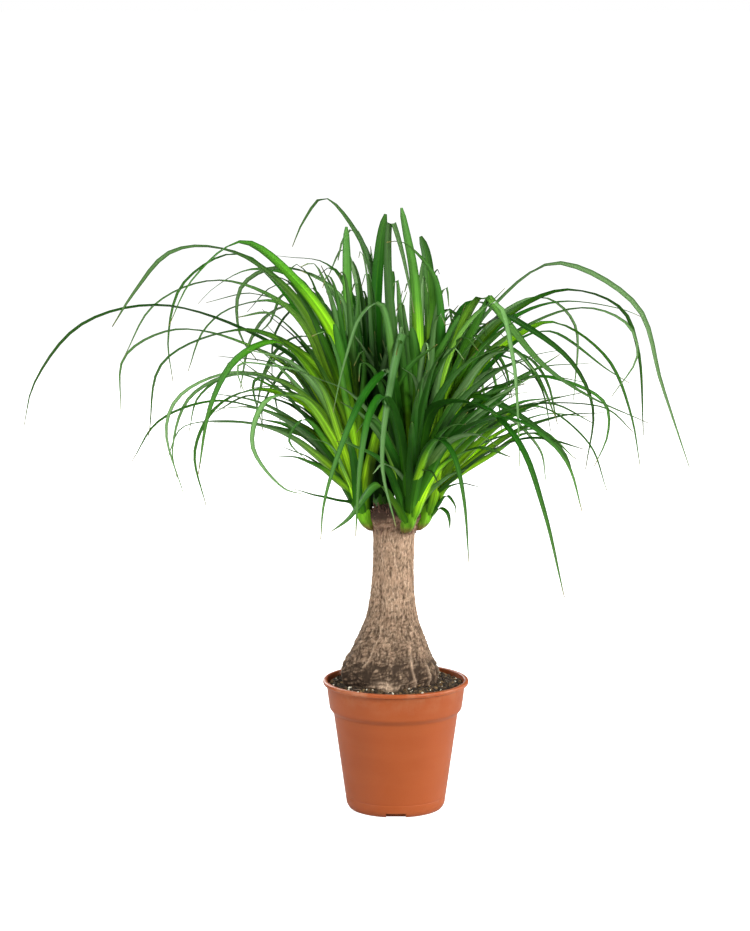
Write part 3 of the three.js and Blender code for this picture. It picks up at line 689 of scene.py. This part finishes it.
def dry_scale():
    """Papery brown remains of old leaf feet."""
    look = material("dry_scale")
    streak = look.noise(260, 5, 0.6, 0.3)
    stops = [(0.3, 0.05, 0.022, 0.014), (0.55, 0.2, 0.1, 0.062), (0.75, 0.46, 0.31, 0.2)]
    look.colour = look.ramp(streak, *stops)
    return look.finish(0.8, look.bump(streak, 0.5, 0.0006))


# Pot


def body_radius(height):
    rise = (height - FOOT_ROUNDING) / (BAND_FOOT_HEIGHT - FOOT_ROUNDING)
    return BODY_FOOT_RADIUS + (BODY_TOP_RADIUS - BODY_FOOT_RADIUS) * rise


def inner_radius(height):
    if height <= SHOULDER_HEIGHT:
        return body_radius(height) - WALL
    rise = (height - BAND_FOOT_HEIGHT) / (POT_HEIGHT - LIP_DEPTH - BAND_FOOT_HEIGHT)
    return BAND_FOOT_RADIUS - WALL + (BAND_TOP_RADIUS - BAND_FOOT_RADIUS) * rise


def pot_outline():
    floor = BODY_FOOT_RADIUS - 3
    recess = floor - FOOT_RING_WIDTH
    corners = [
        (PIN_RADIUS, 0, 0),
        (GATE_PAD_RADIUS, 0, 0.4),
        (GATE_PAD_RADIUS + 1, FOOT_RECESS, 0.4),
        (recess - 1, FOOT_RECESS, 0.4),
        (recess, 0, 0.4),
        (floor, 0, 1.2),
        (BODY_FOOT_RADIUS, FOOT_ROUNDING, 2.4),
    ]
    for rise, depth in ((-0.8, 0), (0, 0.25), (0.8, 0)):
        corners.append((body_radius(GROOVE_HEIGHT + rise) - depth, GROOVE_HEIGHT + rise, 0.4))
    corners += [
        (body_radius(SHOULDER_HEIGHT), SHOULDER_HEIGHT, 1.6),
        (BAND_FOOT_RADIUS, BAND_FOOT_HEIGHT + 0.2, 2),
        (BAND_TOP_RADIUS, POT_HEIGHT - 4.6, 0.6),
        (LIP_RADIUS - 0.7, POT_HEIGHT - 4.2, 0.6),
        (LIP_RADIUS, POT_HEIGHT - 3.2, 0.8),
        (LIP_RADIUS, POT_HEIGHT - 0.8, 0.9),
        (LIP_RADIUS - 1, POT_HEIGHT, 0.9),
        (BAND_TOP_RADIUS - 0.6, POT_HEIGHT - 0.1, 1),
    ]
    for height in (POT_HEIGHT - LIP_DEPTH, BAND_FOOT_HEIGHT, SHOULDER_HEIGHT, 6):
        corners.append((inner_radius(height), height, 1))
    corners += [
        (floor - 1, FOOT_RECESS + WALL + 1, 0.8),
        (floor - 3, FOOT_RECESS + WALL, 0.8),
        (PIN_RADIUS, FOOT_RECESS + WALL, 0),
    ]
    return eased(corners)


def cut_drains(piece):
    """Cuts the drain slots out of the pot's foot, where wall and floor meet."""
    depth = BODY_FOOT_RADIUS + 4 - DRAIN_INNER_RADIUS
    middle = DRAIN_INNER_RADIUS + depth / 2
    size = Vector((depth, DRAIN_WIDTH, DRAIN_HEIGHT * 2)) * METRE
    block = Matrix.Translation((middle * METRE, 0, 0)) @ Matrix.Diagonal((*size, 1))
    cutters = []
    for turn in around(DRAIN_COUNT) - pi / 2:
        bpy.ops.mesh.primitive_cube_add(size=1)
        cutters.append(bpy.context.object)
        cutters[-1].matrix_world = Matrix.Rotation(turn, 4, "Z") @ block
        cut = piece.modifiers.new("drain", "BOOLEAN")
        cut.operation = "DIFFERENCE"
        cut.object = cutters[-1]
    shape = bpy.data.meshes.new_from_object(piece.evaluated_get(bpy.context.evaluated_depsgraph_get()))
    piece.modifiers.clear()
    piece.data = shape
    for cutter in cutters:
        bpy.data.objects.remove(cutter)


def make_pot():
    skin = closed_rings(turned_rings(pot_outline(), POT_SIDES))
    rim = smooth_step(POT_HEIGHT - 12, POT_HEIGHT - 2, skin[0][:, 2])
    pot = mesh_piece("pot_shell", skin, pot_plastic(), ["pot"], {"rim": rim})
    cut_drains(pot)
    pot.data.set_sharp_from_angle(angle=radians(35))


# Trunk


def trunk_axis(height):
    rise = (height - TRUNK_SPREAD_HEIGHT) / (TRUNK_HEIGHT - TRUNK_SPREAD_HEIGHT)
    return TRUNK_FOOT_AXIS + (TRUNK_TOP_AXIS - TRUNK_FOOT_AXIS) * np.clip(rise, 0, 1)


def trunk_radius(angle, height):
    """The trunk's profile with root flares and creases, low ridges and a knobbly collar."""
    skirt = np.exp(-(((height - 136) / 20) ** 2))
    buttress = np.exp(-(((height - 117) / 9) ** 2))
    collar = np.exp(-(((height - COLLAR_HEIGHT) / 7) ** 2))
    flares = 1.5 * np.cos(5 * angle + 1.75) + 0.9 * np.cos(9 * angle + height * 0.05)
    knobs = 1.3 * np.cos(6 * angle + 1) + 0.8 * np.cos(11 * angle)
    ridges = 0.4 * np.cos(7 * angle + height * 0.03)
    relief = skirt * flares + buttress * 2.4 * np.cos(5 * angle + 1.75) + collar * knobs + ridges
    return along(TRUNK_PROFILE, height) + relief


def pressed(value, low, high):
    return min(1.0, max(0.0, (value - low) / (high - low)))


def fading(value, low, high):
    return pressed(-value, -high, -low)


def field(x, y, z, size, shift=(0, 0, 0)):
    """Noise at a place, with lumps of about this size."""
    return noise.noise(Vector((x, y, z)) / size + Vector(shift))


def crack_at(place, size, shift=(0, 0, 0)):
    """How deep in a crack a place is: cracks run where a field of noise passes through zero."""
    return exp(-((field(*place, size, shift) / CRACK_WIDTH) ** 2))


def ridge_at(turn, height):
    """How near a place is to one of the root ridges, 0 to 1."""
    near = 0.0
    for heights, angles, width in ROOT_RIDGES:
        low, *_, high = heights
        if low < height < high:
            off = (turn - np.interp(height, heights, angles)) / width
            ends = pressed(height, low, low + 8) * fading(height, high - 8, high)
            near = max(near, ends * exp(-off * off))
    return near


def bark_detail(x, y, z):
    """Offset in millimetres, painted shade in the hollows and paleness of the ridges at a place on the bark.
    """
    warp = 2.5 * field(x, y, z, 14)
    skirt, waist, base = (fading(z, *heights) for heights in (SKIRT_FADE, WAIST_FADE, WRINKLES_FADE))
    shreds = noise.fractal(Vector((x + warp, y - warp, z * 0.15)) / 3.0, 0.75, 2.1, 4)
    lumps = noise.fractal(Vector((x, y, z * 0.55)) / 2.3, 0.8, 2.1, 3)
    bulge = field(x, y, z * 0.5, 11)
    pits = pressed(field(x, y, z * 0.5, 1.6, (3, 8, 5)), 0.14, 0.4)
    long_pits = pressed(field(x + warp, y, z * 0.22, 2.4, (7, 1, 4)), 0.2, 0.42)
    flat = (x * 0.22 + warp, y * 0.22, z + 1.6 * warp)
    wrinkle = crack_at(flat, 5.5) * pressed(field(x, y, z, 9), -0.3, 0.1) * base
    fine = crack_at(flat, 2.6, (5, 5, 5)) * 0.6
    folds = max(wrinkle, fine * max(skirt, waist * 0.7, 0.75 * pressed(z, *TOP_FADE)))
    turn = degrees(atan2(y, x)) % 360
    root = ridge_at(turn + 2 * warp, z)
    blotch = pressed(field(x, y, z * 1.3, 10, (2, 9, 6)), 0.22, 0.45) * base
    off_turn = (turn + 4 * warp - SCAR_ANGLE) / SCAR_HALF_ANGLE
    scar = exp(-(off_turn**2) - ((z + warp - SCAR_HEIGHT) / SCAR_HALF_HEIGHT) ** 2)
    # Painted shade: pits, long pits and folds are darkened, less on the scar and on root ridges
    hollow_shade = min(1.0, 0.75 * pits + long_pits * (0.35 + 0.5 * waist) + 1.6 * folds) * (1 - 0.6 * scar)
    shred = pressed(shreds, 0.35, 0.95) * (0.2 + 0.5 * waist * (1 - 0.7 * skirt))
    pale = 0.42 * root + shred + 0.85 * blotch * (1 - skirt) + 1.1 * scar
    offset = shreds * (0.32 + 0.35 * waist) + 0.3 * lumps + 0.7 * bulge * (0.4 + skirt) + 1.7 * root
    offset += 2.4 * exp(-(((z - COLLAR_HEIGHT + 1) / 8) ** 2))
    offset -= 0.4 * pits + 0.45 * long_pits + 1.4 * folds
    return offset, hollow_shade * (1 - 0.8 * root), min(1.0, pale)


def make_trunk():
    buried = np.linspace(TRUNK_PROFILE[0][0], BARK_FOOT_HEIGHT, 12)[:-1]
    bare = np.arange(BARK_FOOT_HEIGHT, TRUNK_HEIGHT - 1.4, BARK_STEP)
    angles = around(BARK_SIDES)
    rings, hollow_shades, pales = [], [], []
    for height in np.concatenate([buried, bare]):
        radius = trunk_radius(angles, height)
        sides = zip(radius * np.cos(angles), radius * np.sin(angles))
        offset, hollow_shade, pale = np.array([bark_detail(x, y, height) for x, y in sides]).T
        radius = radius + smooth_step(104, 112, height) * offset
        rings.append(ring(trunk_axis(height), radius, angles, height))
        hollow_shades.append(hollow_shade)
        pales.append(pale)
    cut = trunk_radius(angles, TRUNK_HEIGHT - 1.5)
    for share in (0.97, 0.9, 0.8, 0.68, 0.55, 0.4, 0.25, 0.1):
        radius = cut * share
        sides = zip(radius * np.cos(angles), radius * np.sin(angles))
        rough = np.array([field(x, y, 3, 2.4) for x, y in sides])
        hollow = 2.2 * smooth_step(0.95, 0.5, share)
        z = TRUNK_HEIGHT - 0.6 + 0.9 * rough + 0.8 * np.cos(3 * angles) * share - hollow
        rings.append(ring(TRUNK_TOP_AXIS, radius, angles, z))
        # Painted shade on the top: its low places and its hollow middle are darker
        hollow_shades.append(smooth_step(0.0, 0.5, -rough) * 0.4 + 0.6 * smooth_step(1.0, 0.7, share))
        pales.append(0 * angles)
    skin = closed_rings(rings)
    x, y, z = skin[0].T
    wander = 5 * np.cos(3 * np.arctan2(y, x) + 1)
    attributes = {
        # Painted shade in the hollows; the top's middle point gets half
        "hollow_shade": np.append(hollow_shades, [0.0, 0.5]),
        "pale": np.append(pales, [0, 0]),
        "skirt": smooth_step(162, 140, z + wander) * 0.54 + smooth_step(225, 160, z) * 0.5,
        "collar": smooth_step(262, 284, z),
        # The trunk's top, which gets painted shade
        "cut": 0.92 * smooth_step(283, 289, z + 0.5 * wander),
    }
    mesh_piece("trunk_bark", skin, bark(), ["trunk"], attributes)


# Potting mix


def soil_height(x, y):
    """Height of the mix's top at a place."""
    radius = np.hypot(x, y)
    lumps = np.sin(5 * np.arctan2(y, x) + radius * 0.5) + np.cos(8 * np.arctan2(y, x) - radius * 0.31)
    return SOIL_HEIGHT + SOIL_MOUND * (1 - radius / 65) + SOIL_ROUGHNESS * lumps


def free_places(count, generator, outer, margin):
    """Seeded places on the mix between the trunk and the pot's wall."""
    draw = generator.uniform
    places = []
    while len(places) < count:
        angle = draw(0, 2 * pi)
        radius = outer * sqrt(draw(0.3, 1))
        x, y = radius * cos(angle), radius * sin(angle)
        from_axis = x - trunk_axis(SOIL_HEIGHT)
        edge = trunk_radius(np.arctan2(y, from_axis), SOIL_HEIGHT)
        if hypot(from_axis, y) > edge + margin:
            places.append((x, y))
    return places


def ball():
    """Points and triangles of a ball of radius 1, from an icosahedron split twice."""
    shape = bmesh.new()
    bmesh.ops.create_icosphere(shape, subdivisions=2, radius=1)
    points = np.array([vertex.co for vertex in shape.verts])
    faces = [[vertex.index for vertex in face.verts] for face in shape.faces]
    shape.free()
    return points, faces


def lumps(generator, places, sizes, flatness, sunk=0, lift=0):
    """Irregular lumps at places on the mix."""
    round_points, triangles = ball()
    draw = generator.uniform
    made = []
    for x, y in places:
        size = draw(*sizes)
        stretch = draw(0.7, 1.3, 3) * (1, 1, flatness)
        offset = draw(0, 90, 3)
        rough = np.array([noise.noise(Vector(point * 1.7 + offset)) for point in round_points])
        lump = round_points * stretch * size * (1 + 0.55 * rough)[:, None]
        turn = np.array(Matrix.Rotation(draw(0, 6.28), 3, Vector(generator.normal(size=3))))
        centre = np.array([x, y, soil_height(x, y) + size * flatness * (0.5 - sunk)])
        made.append((lump @ turn.T + centre + (0, 0, lift), triangles))
    return made


def soil_bed():
    """The body of mix, up to its rough top, round the trunk's foot."""
    angles = around(POT_SIDES)
    hole = DRAIN_INNER_RADIUS - GAP
    floor = FOOT_RECESS + WALL + GAP
    outline = [(PIN_RADIUS, floor), (hole, floor), (hole, DRAIN_HEIGHT + GAP)]
    for height in (9, SHOULDER_HEIGHT, BAND_FOOT_HEIGHT + GAP, SOIL_HEIGHT - 1):
        outline.append((inner_radius(height) - GAP, height))
    rings = list(turned_rings(outline, POT_SIDES))
    outer = ring(0, outline[-1][0], angles, 0)
    inner = ring(trunk_axis(SOIL_HEIGHT), trunk_radius(angles, SOIL_HEIGHT) + 0.1, angles, 0)
    for share in np.linspace(0, 1, 9):
        x, y, _ = (outer * (1 - share) + inner * share).T
        rings.append(np.stack([x, y, soil_height(x, y)], -1))
    for height in (110, 96, 84, 74):
        radius = trunk_radius(angles, height) + GAP
        rings.append(ring(trunk_axis(height), radius, angles, height - GAP))
    return closed_rings(rings)


def fibre(x, y, draw):
    """A bit of bark or root lying on the mix, and its shade."""
    length, turn, bend = draw(3, 8), draw(0, 2 * pi), draw(-0.5, 0.5)
    rings = []
    for t in np.linspace(-0.5, 0.5, 6):
        out = heading(turn + bend * t)
        cx, cy = x + length * t * out[0], y + length * t * out[1]
        radius = FIBRE_RADIUS * (1 - 1.3 * abs(t)) + 0.06
        spokes = np.outer(np.cos(around(6)), sideways(out)) + np.outer(np.sin(around(6)), (0, 0, 1))
        rings.append((cx, cy, soil_height(cx, cy) + 1.1) + radius * spokes)
    return closed_rings(rings), draw(0.7, 1.0)


def make_soil():
    bed = soil_bed()
    generator = np.random.default_rng(SOIL_SEED)
    places = free_places(CRUMB_COUNT, generator, outer=63.5, margin=0.6)
    crumbs = lumps(generator, places, sizes=(0.7, 2.1), flatness=0.8, sunk=0.35)
    tints = np.repeat(generator.beta(1.3, 1.7, CRUMB_COUNT), len(crumbs[0][0]))
    tint = np.concatenate([np.full(len(bed[0]), 0.15), tints])
    mesh_piece("soil_mix", gathered([bed, *crumbs]), potting_mix(), ["soil"], {"tint": tint})
    places = free_places(PERLITE_COUNT, generator, outer=62.5, margin=1.5)
    grains = lumps(generator, places, sizes=(0.4, 1.05), flatness=0.85, lift=1)
    mesh_piece("perlite_grains", gathered(grains), perlite())
    places = free_places(FIBRE_COUNT, generator, outer=58, margin=3)
    fibres, tints = zip(*[fibre(x, y, generator.uniform) for x, y in places])
    tint = np.concatenate([np.full(len(points), tint) for (points, _), tint in zip(fibres, tints)])
    # The fibres wear the potting mix's material, each with its own tint
    flat = bpy.data.materials["potting_mix"]
    mesh_piece("soil_fibres", gathered(fibres), flat, attributes={"tint": tint})


# Leafy heads


def head_axis(head, share):
    height = CORE_LENGTH * share
    radius = CORE_CIRCLE_RADIUS + CORE_LEAN * height
    return radius * heading(radians(head.at)) + (TRUNK_TOP_AXIS, 0, CORE_FOOT_HEIGHT + height)


def placed(across, up, depth):
    """The place at a depth that looks from the eye as if it were at (across, up) on the trunk's plane."""
    scale = (EYE_DISTANCE + depth) / EYE_DISTANCE
    x = EYE_ACROSS + (across - EYE_ACROSS) * scale
    return np.array([x, depth, EYE_HEIGHT + (up - EYE_HEIGHT) * scale])


def kept_clear(point, head):
    """Bends a point back between the two upright planes that bound its head's share of the crown."""
    point = np.array(point, float)
    for angle, side in ((head.start, 1), (head.end, -1)):
        normal = side * sideways(heading(radians(angle)))
        inside = (point[0] - TRUNK_TOP_AXIS) * normal[0] + point[1] * normal[1]
        if inside < BORDER_MARGIN:
            point = point + normal * (BORDER_MARGIN - inside)
    return point


def route_from(head, places, free=False):
    """A leaf's route: it leaves the core steeply, higher up for a high crown, and bends out through its
    places. A free leaf may cross into the next head's share of the crown."""
    crown = max(place[2] for place in places)
    root = head_axis(head, min(max((crown - 300) / 400, 0.12), 0.6))
    out = (places[-1] - root) * (1, 1, 0)
    root = root + 3 * out / np.linalg.norm(out)
    rise = root + 0.42 * (places[0] - root)
    rise[2] += 0.07 * np.linalg.norm(places[0] - root)
    route = [root, rise, *places]
    return np.array(route if free else [kept_clear(point, head) for point in route])


def outline_leaf(head, row, free=False):
    width, depth, *seen = row
    trimmed = seen[-1] == "trimmed"
    seen = [(seen[i], seen[i + 1]) for i in range(0, len(seen) - 1, 2)]
    start = head_axis(head, 0.4)
    before = [(start[0], start[2]), *seen[:-1]]
    strides = [hypot(a - c, UPWARD_STRIDE * (b - d)) for (a, b), (c, d) in zip(seen, before)]
    done = np.cumsum(strides) / sum(strides)
    places = [placed(a, b, start[1] + (depth - start[1]) * s) for (a, b), s in zip(seen, done)]
    return route_from(head, places, free), width, trimmed


def filling_leaf(head, rule, index, count, draw):
    kind, reach, below, drop = rule
    upright = kind == "upright"
    span = head.end - head.start - 2 * FILLING_MARGIN
    angle = radians(head.start + FILLING_MARGIN + span * (index + draw(0.15, 0.85)) / count)
    far = draw(*reach)
    crown = head.top - draw(*below)
    fall = draw(*drop)
    tip = far * heading(angle) + (TRUNK_TOP_AXIS, 0, 0)
    start = head_axis(head, 0.4)
    shares = [0.4, 0.78, 1] if upright else [0.24, 0.5, 0.76, 0.92, 1]
    falls = [0.42, 0.05, 0] if upright else [0.3, 0, 0.1, 0.45, 1]
    places = []
    for i, share in enumerate(shares):
        place = start + share * (tip - start)
        place[2] = crown - falls[i] * (crown - start[2] if i == 0 or upright else fall)
        places.append(place)
    if upright:
        places.append(np.array([tip[0] * 1.06, tip[1] * 1.06, crown - fall * 0.5]))
    return route_from(head, places), draw(7.5, 11), False


def bowed(place, out, length, lift, bow, top):
    """Places along a leaf that sets out at the lift angle and bows down by the bow. It is brought down
    gradually where it would reach above the top."""
    places = []
    steps = 20
    for step in range(steps):
        slope = lift - bow * ((step + 0.5) / steps) ** 1.4
        place = place + length / steps * (cos(slope) * out + (0, 0, sin(slope)))
        if step % 5 == 4:
            places.append(place)
    over = max(0, max(point[2] for point in places) - top)
    return [point - (0, 0, over * (i + 1) / len(places)) for i, point in enumerate(places)]


def nest_leaf(head, index, draw):
    """An inner leaf: it leaves the core steeply and bows out under its own weight."""
    out = heading(radians(draw(*head.nest)))
    length = draw(90, 300) * (1 - 0.3 * abs(out[0]))
    lift = radians(90 - 42 * ((index + draw(0, 1)) / NEST_COUNT) ** 1.3)
    bow = radians(draw(10, 50) + 75 * (length / 300) ** 2 * draw(0.4, 1))
    places = bowed(head_axis(head, draw(0.15, 0.6)) + 3 * out, out, length, lift, bow, head.top)
    root = places[0] - (places[1] - places[0]) * 0.9
    root[:2] = (head_axis(head, 0.4) + 3 * out)[:2]
    root[2] = max(min(root[2], places[0][2] - 15), CORE_FOOT_HEIGHT + 18)
    return np.array([root, *places]), draw(7, 10.5), False


def wrap_leaf(head, index, draw):
    """A leaf whose foot wraps the core: it comes out of the core low down, on any side of it."""
    angle = 2 * pi * (index + draw(0, 0.6)) / WRAP_COUNT
    out = heading(angle)
    facing = cos(angle - radians(head.at))
    low = draw(0.14, 0.4)
    foot = []
    for rise, gap in ((0, -4), (0.1, -0.9), (0.24, 1.6)):
        radius = float(along(CORE_PROFILE, low + rise))
        foot.append(head_axis(head, low + rise) + (radius + gap) * out)
    length = draw(110, 230)
    lift = radians(84 - 14 * (1 + facing) * draw(0.3, 1))
    bow = radians((30 + 45 * (1 + facing)) * draw(0.5, 1))
    places = bowed(foot[-1], out, length, lift, bow, head.top - 40)
    return np.array([*foot, *places]), draw(7, 10), False


def spline(points, count):
    """A centripetal Catmull-Rom curve through points: places evenly along it, and its directions."""
    points = np.concatenate([[2 * points[0] - points[1]], points, [2 * points[-1] - points[-2]]])
    gaps = np.maximum(np.linalg.norm(np.diff(points, axis=0), axis=1) ** 0.5, 1e-3)
    fine = []
    for i in range(1, len(points) - 2):
        before, a, b, after = points[i - 1 : i + 3]
        d0, d1, d2 = gaps[i - 1 : i + 2]
        start = ((a - before) / d0 - (b - before) / (d0 + d1) + (b - a) / d1) * d1
        end = ((b - a) / d1 - (after - a) / (d1 + d2) + (after - b) / d2) * d1
        for t in np.linspace(0, 1, 16, endpoint=False):
            cubic = 2 * a - 2 * b + start + end
            square = -3 * a + 3 * b - 2 * start - end
            fine.append(a + start * t + square * t**2 + cubic * t**3)
    fine = np.array([*fine, points[-2]])
    reach = travelled(fine)
    even = np.linspace(0, reach[-1], count)
    places = np.stack([np.interp(even, reach, fine[:, k]) for k in range(3)], -1)
    return places, unit(np.gradient(places, axis=0))


def blade(leaf, count, seed, draw):
    """A channelled strap leaf, as rings of points, and the rings' shares of its length."""
    route, width, trimmed = leaf
    centres, ahead = spline(route, count)
    s = np.linspace(0, 1, count)
    plan = unit((route[-1] - route[0]) * (1, 1, 0))
    level = sideways(plan)
    across = unit(level - ahead * (ahead @ level)[:, None])
    upper = np.cross(ahead, across)
    turn = TURN * plan[0] * np.sign(plan[1]) * ahead[:, 2]
    twist = (turn + draw(-0.4, 0.4)) * smooth_step(-0.1, 0.3, s)
    twist = (twist + draw(-1, 1) * (0.25 if trimmed else 0.6) * s)[:, None]
    flat = across
    across = flat * np.cos(twist) + upper * np.sin(twist)
    upper = (upper * np.cos(twist) - flat * np.sin(twist))[:, None]
    taper = 1.12 - 0.45 * s - 0.3 * s**12 if trimmed else 1.12 - 0.35 * s - 0.7 * s * s
    clasp = 0.45 + 0.65 * smooth_step(0, 0.07, s)
    half = np.maximum(0.35, width * taper * clasp / 2)[:, None]
    if trimmed:
        half[-1] *= 0.55
    ripple = 0.35 * np.sin(s * (17 + seed % 7) + seed) * smooth_step(0.1, 0.4, s)
    fold = 2 * KEEL_SHARE * half * (np.abs(SPOTS) ** 1.25 - 1)
    thick = BLADE_THICKNESS * (1 - 0.55 * np.abs(SPOTS)) * (1 - 0.5 * s)[:, None]
    thick[:, len(SPOTS) // 2] += 0.25 * (1 - s)
    top = centres[:, None] + across[:, None] * (half * SPOTS)[..., None]
    top = top + upper * (fold + ripple[:, None])[..., None]
    under = top - upper * thick[..., None]
    return np.concatenate([top, under[:, ::-1]], axis=1), s


def make_leaves(name, seed, material):
    head = HEADS[name]
    draw = draws_from(seed)
    leaves = [outline_leaf(head, row) for row in LEAVES[name]]
    for rule, count in zip(FILLING, head.filling):
        leaves += [filling_leaf(head, rule, i, count, draw) for i in range(count)]
    blades = [blade(leaf, BLADE_ROWS, seed + i, draw) for i, leaf in enumerate(leaves)]
    inner = [outline_leaf(head, row, free=True) for row in INNER_LEAVES[name]]
    inner += [nest_leaf(head, i, draw) for i in range(NEST_COUNT)]
    inner += [wrap_leaf(head, i, draw) for i in range(WRAP_COUNT)]
    blades += [blade(leaf, NEST_ROWS, seed + i, draw) for i, leaf in enumerate(inner)]
    lanes = np.concatenate([SPOTS, SPOTS[::-1]])
    sides = np.repeat([0.0, 1.0], len(SPOTS))
    layers = []
    looks = draws_from(seed + LOOKS_SEED)
    for (rings, s), (_, width, trimmed) in zip(blades, leaves + inner):
        tint = looks(0, 1)
        fresh = smooth_step(0.25, 0.65, head.fresh + 0.1 * (width - 10.5) + looks(-0.5, 0.5))
        # How much waxy bloom with painted sheen a leaf gets, less on trimmed ones
        wax_and_sheen = max(0, looks(-1.4, 1)) * (0.25 if trimmed else 0.75)
        reach = LIME_SHARE * np.minimum(1, travelled(rings[:, 3]) / LIME_REACH)
        s = np.maximum(s * (0.8 if trimmed else 1), reach)
        rise = np.append(np.repeat(s, len(lanes)), [0, 1])
        across, under = (np.append(np.tile(spots, len(s)), [0, 0]) for spots in (lanes, sides))
        layers.append(np.stack(np.broadcast_arrays(rise, across, under, tint, fresh, wax_and_sheen)))
    attributes = dict(zip(("along", "across", "under", "tint", "fresh", "wax_and_sheen"), np.hstack(layers)))
    skin = gathered(closed_rings(rings) for rings, _ in blades)
    x, y, z = skin[0].T
    # Painted shade: leaf points near the trunk's axis low in the crown, and in the front hollow between the
    # left and front heads, are painted darker as if in the crown's shade
    rise = z - COLLAR_HEIGHT
    inside = smooth_step(30 + 0.2 * rise, 14 + 0.12 * rise, np.hypot(x - TRUNK_TOP_AXIS, y))
    middle = smooth_step(21, 13, np.abs(x - SHADED_HOLLOW_ACROSS))
    middle = middle * smooth_step(-36, -24, y) * smooth_step(85, 60, y)
    attributes["painted_shade"] = np.maximum(inside, middle) * smooth_step(190, 120, rise)
    mesh_piece("leaves_" + name, skin, material, ["head_" + name], attributes, 50)


def make_core(name, index, material):
    """The swollen foot of a head, wrapped in overlapping leaf feet."""
    head = HEADS[name]
    shares = np.linspace(0, 1, CORE_ROWS)
    angles = around(CORE_SIDES)
    inward = -heading(radians(head.at))
    rings, folds = [], []
    for share in shares:
        turn = (2.5 * angles / pi + 1.7 * share + 0.37 * index) % 1
        radius = along(CORE_PROFILE, share) * (0.93 + 0.1 * turn**2)
        centre = head_axis(head, share) + STUB_TUCK * exp(-share / 0.09) * inward
        rings.append(centre + ring(0, radius, angles, 0))
        folds.append(smooth_step(0.82, 1.0, turn) * 0.5)
    skin = closed_rings(rings)
    attributes = {
        "along": np.append(np.repeat(shares, CORE_SIDES), [0, 1]),
        "across": np.append(folds, [0, 0]),
        # Its head's freshness; a low value gives the core painted shade
        "fresh": np.full(len(skin[0]), smooth_step(0.0, 0.5, head.fresh)),
    }
    mesh_piece("stub_" + name, skin, material, ["head_" + name], attributes)


def shred(draw, heights, lengths, widths, depths):
    """A dry shred of an old leaf foot, on the collar."""
    angle = draw(0, 2 * pi)
    height, length, width = draw(*heights), draw(*lengths), draw(*widths)
    lean = draw(-0.7, 0.7)
    inward = draw(*depths) if depths else 0
    rings = []
    for t in np.linspace(0, 1, 6):
        z = height + length * (t - 0.5) * cos(lean)
        turn = angle + lean * length * (t - 0.5) / 24
        lift = 0.3 + 1.3 * draw(0.7, 1.3) * t * t
        radius = float(trunk_radius(turn, min(z, TRUNK_HEIGHT - 2))) + lift - inward
        out = heading(turn)
        side = sideways(out) * (width * (0.35 + 0.9 * t * (1 - t) * 2) / 2 * (1 - 0.6 * t))
        centre = out * radius + (TRUNK_TOP_AXIS, 0, z)
        rings.append([centre + side, centre + out * 0.4, centre - side, centre - out * 0.25])
    return closed_rings(rings)


def make_heads():
    green = foliage()
    lime = sheath()
    for index, name in enumerate(HEADS):
        make_leaves(name, HEAD_SEED + HEAD_SEED_STEP * index, green)
        make_core(name, index, lime)
    draw = np.random.default_rng(SHRED_SEED).uniform
    shreds = [shred(draw, *ranges) for count, *ranges in SHREDS for _ in range(count)]
    mesh_piece("collar_shreds", gathered(shreds), dry_scale(), sharp_above=40)


# Studio


def make_floor():
    look = material("floor")
    look.colour = look.ramp(look.noise(0.6, 2), (0.0, 0.5, 0.5, 0.49), (1.0, 0.54, 0.54, 0.53))
    glow = look.nodes["Principled BSDF"].inputs
    look.set(glow["Emission Color"], (1, 1, 1, 1))
    look.set(glow["Emission Strength"], look.node("LightPath").outputs["Is Camera Ray"])
    bpy.ops.mesh.primitive_circle_add(vertices=96, radius=60, fill_type="NGON", location=(0, 0, -0.0002))
    floor = bpy.context.object
    floor.name = "floor"
    floor.data.materials.append(look.finish(0.8, specular=0.1))


def aimed(thing, place, aim):
    thing.location = place
    thing.rotation_euler = (Vector(aim) - Vector(place)).to_track_quat("-Z", "Y").to_euler()


def make_studio():
    make_floor()
    for name, place, size, power, colour in LIGHTS:
        lamp = bpy.data.lights.new(name, "AREA")
        lamp.size = size
        lamp.energy = power
        lamp.color = colour
        aimed(added(name, lamp), place, LIGHTS_AIM)
    sky = bpy.data.lights.new("sky", "SUN")
    sky.energy = SKY_POWER
    sky.angle = radians(SKY_SPREAD)
    added("sky", sky).rotation_euler = (*map(radians, SKY_TILT), 0)
    world = bpy.data.worlds.new("studio")
    bpy.context.scene.world = world
    look = Shader(world)
    background = look.nodes["Background"].inputs
    look.set(background["Color"], (1, 1, 1, 1))
    seen = look.node("LightPath").outputs["Is Camera Ray"]
    look.set(background["Strength"], look.grey(seen, WORLD_LIGHT, 1.0))
    bpy.context.scene.view_settings.view_transform = "Standard"


def make_camera():
    data = bpy.data.cameras.new("camera")
    data.sensor_width = SENSOR_MM
    data.lens = FOCAL_PX * SENSOR_MM / PICTURE_HEIGHT_PX
    camera = added("camera", data)
    eye = Vector((EYE_ACROSS, -EYE_DISTANCE, EYE_HEIGHT)) * METRE
    aimed(camera, eye, Vector((EYE_ACROSS, 0, AIM_HEIGHT)) * METRE)
    bpy.context.scene.camera = camera


make_camera()
make_studio()
make_pot()
make_trunk()
make_soil()
make_heads()
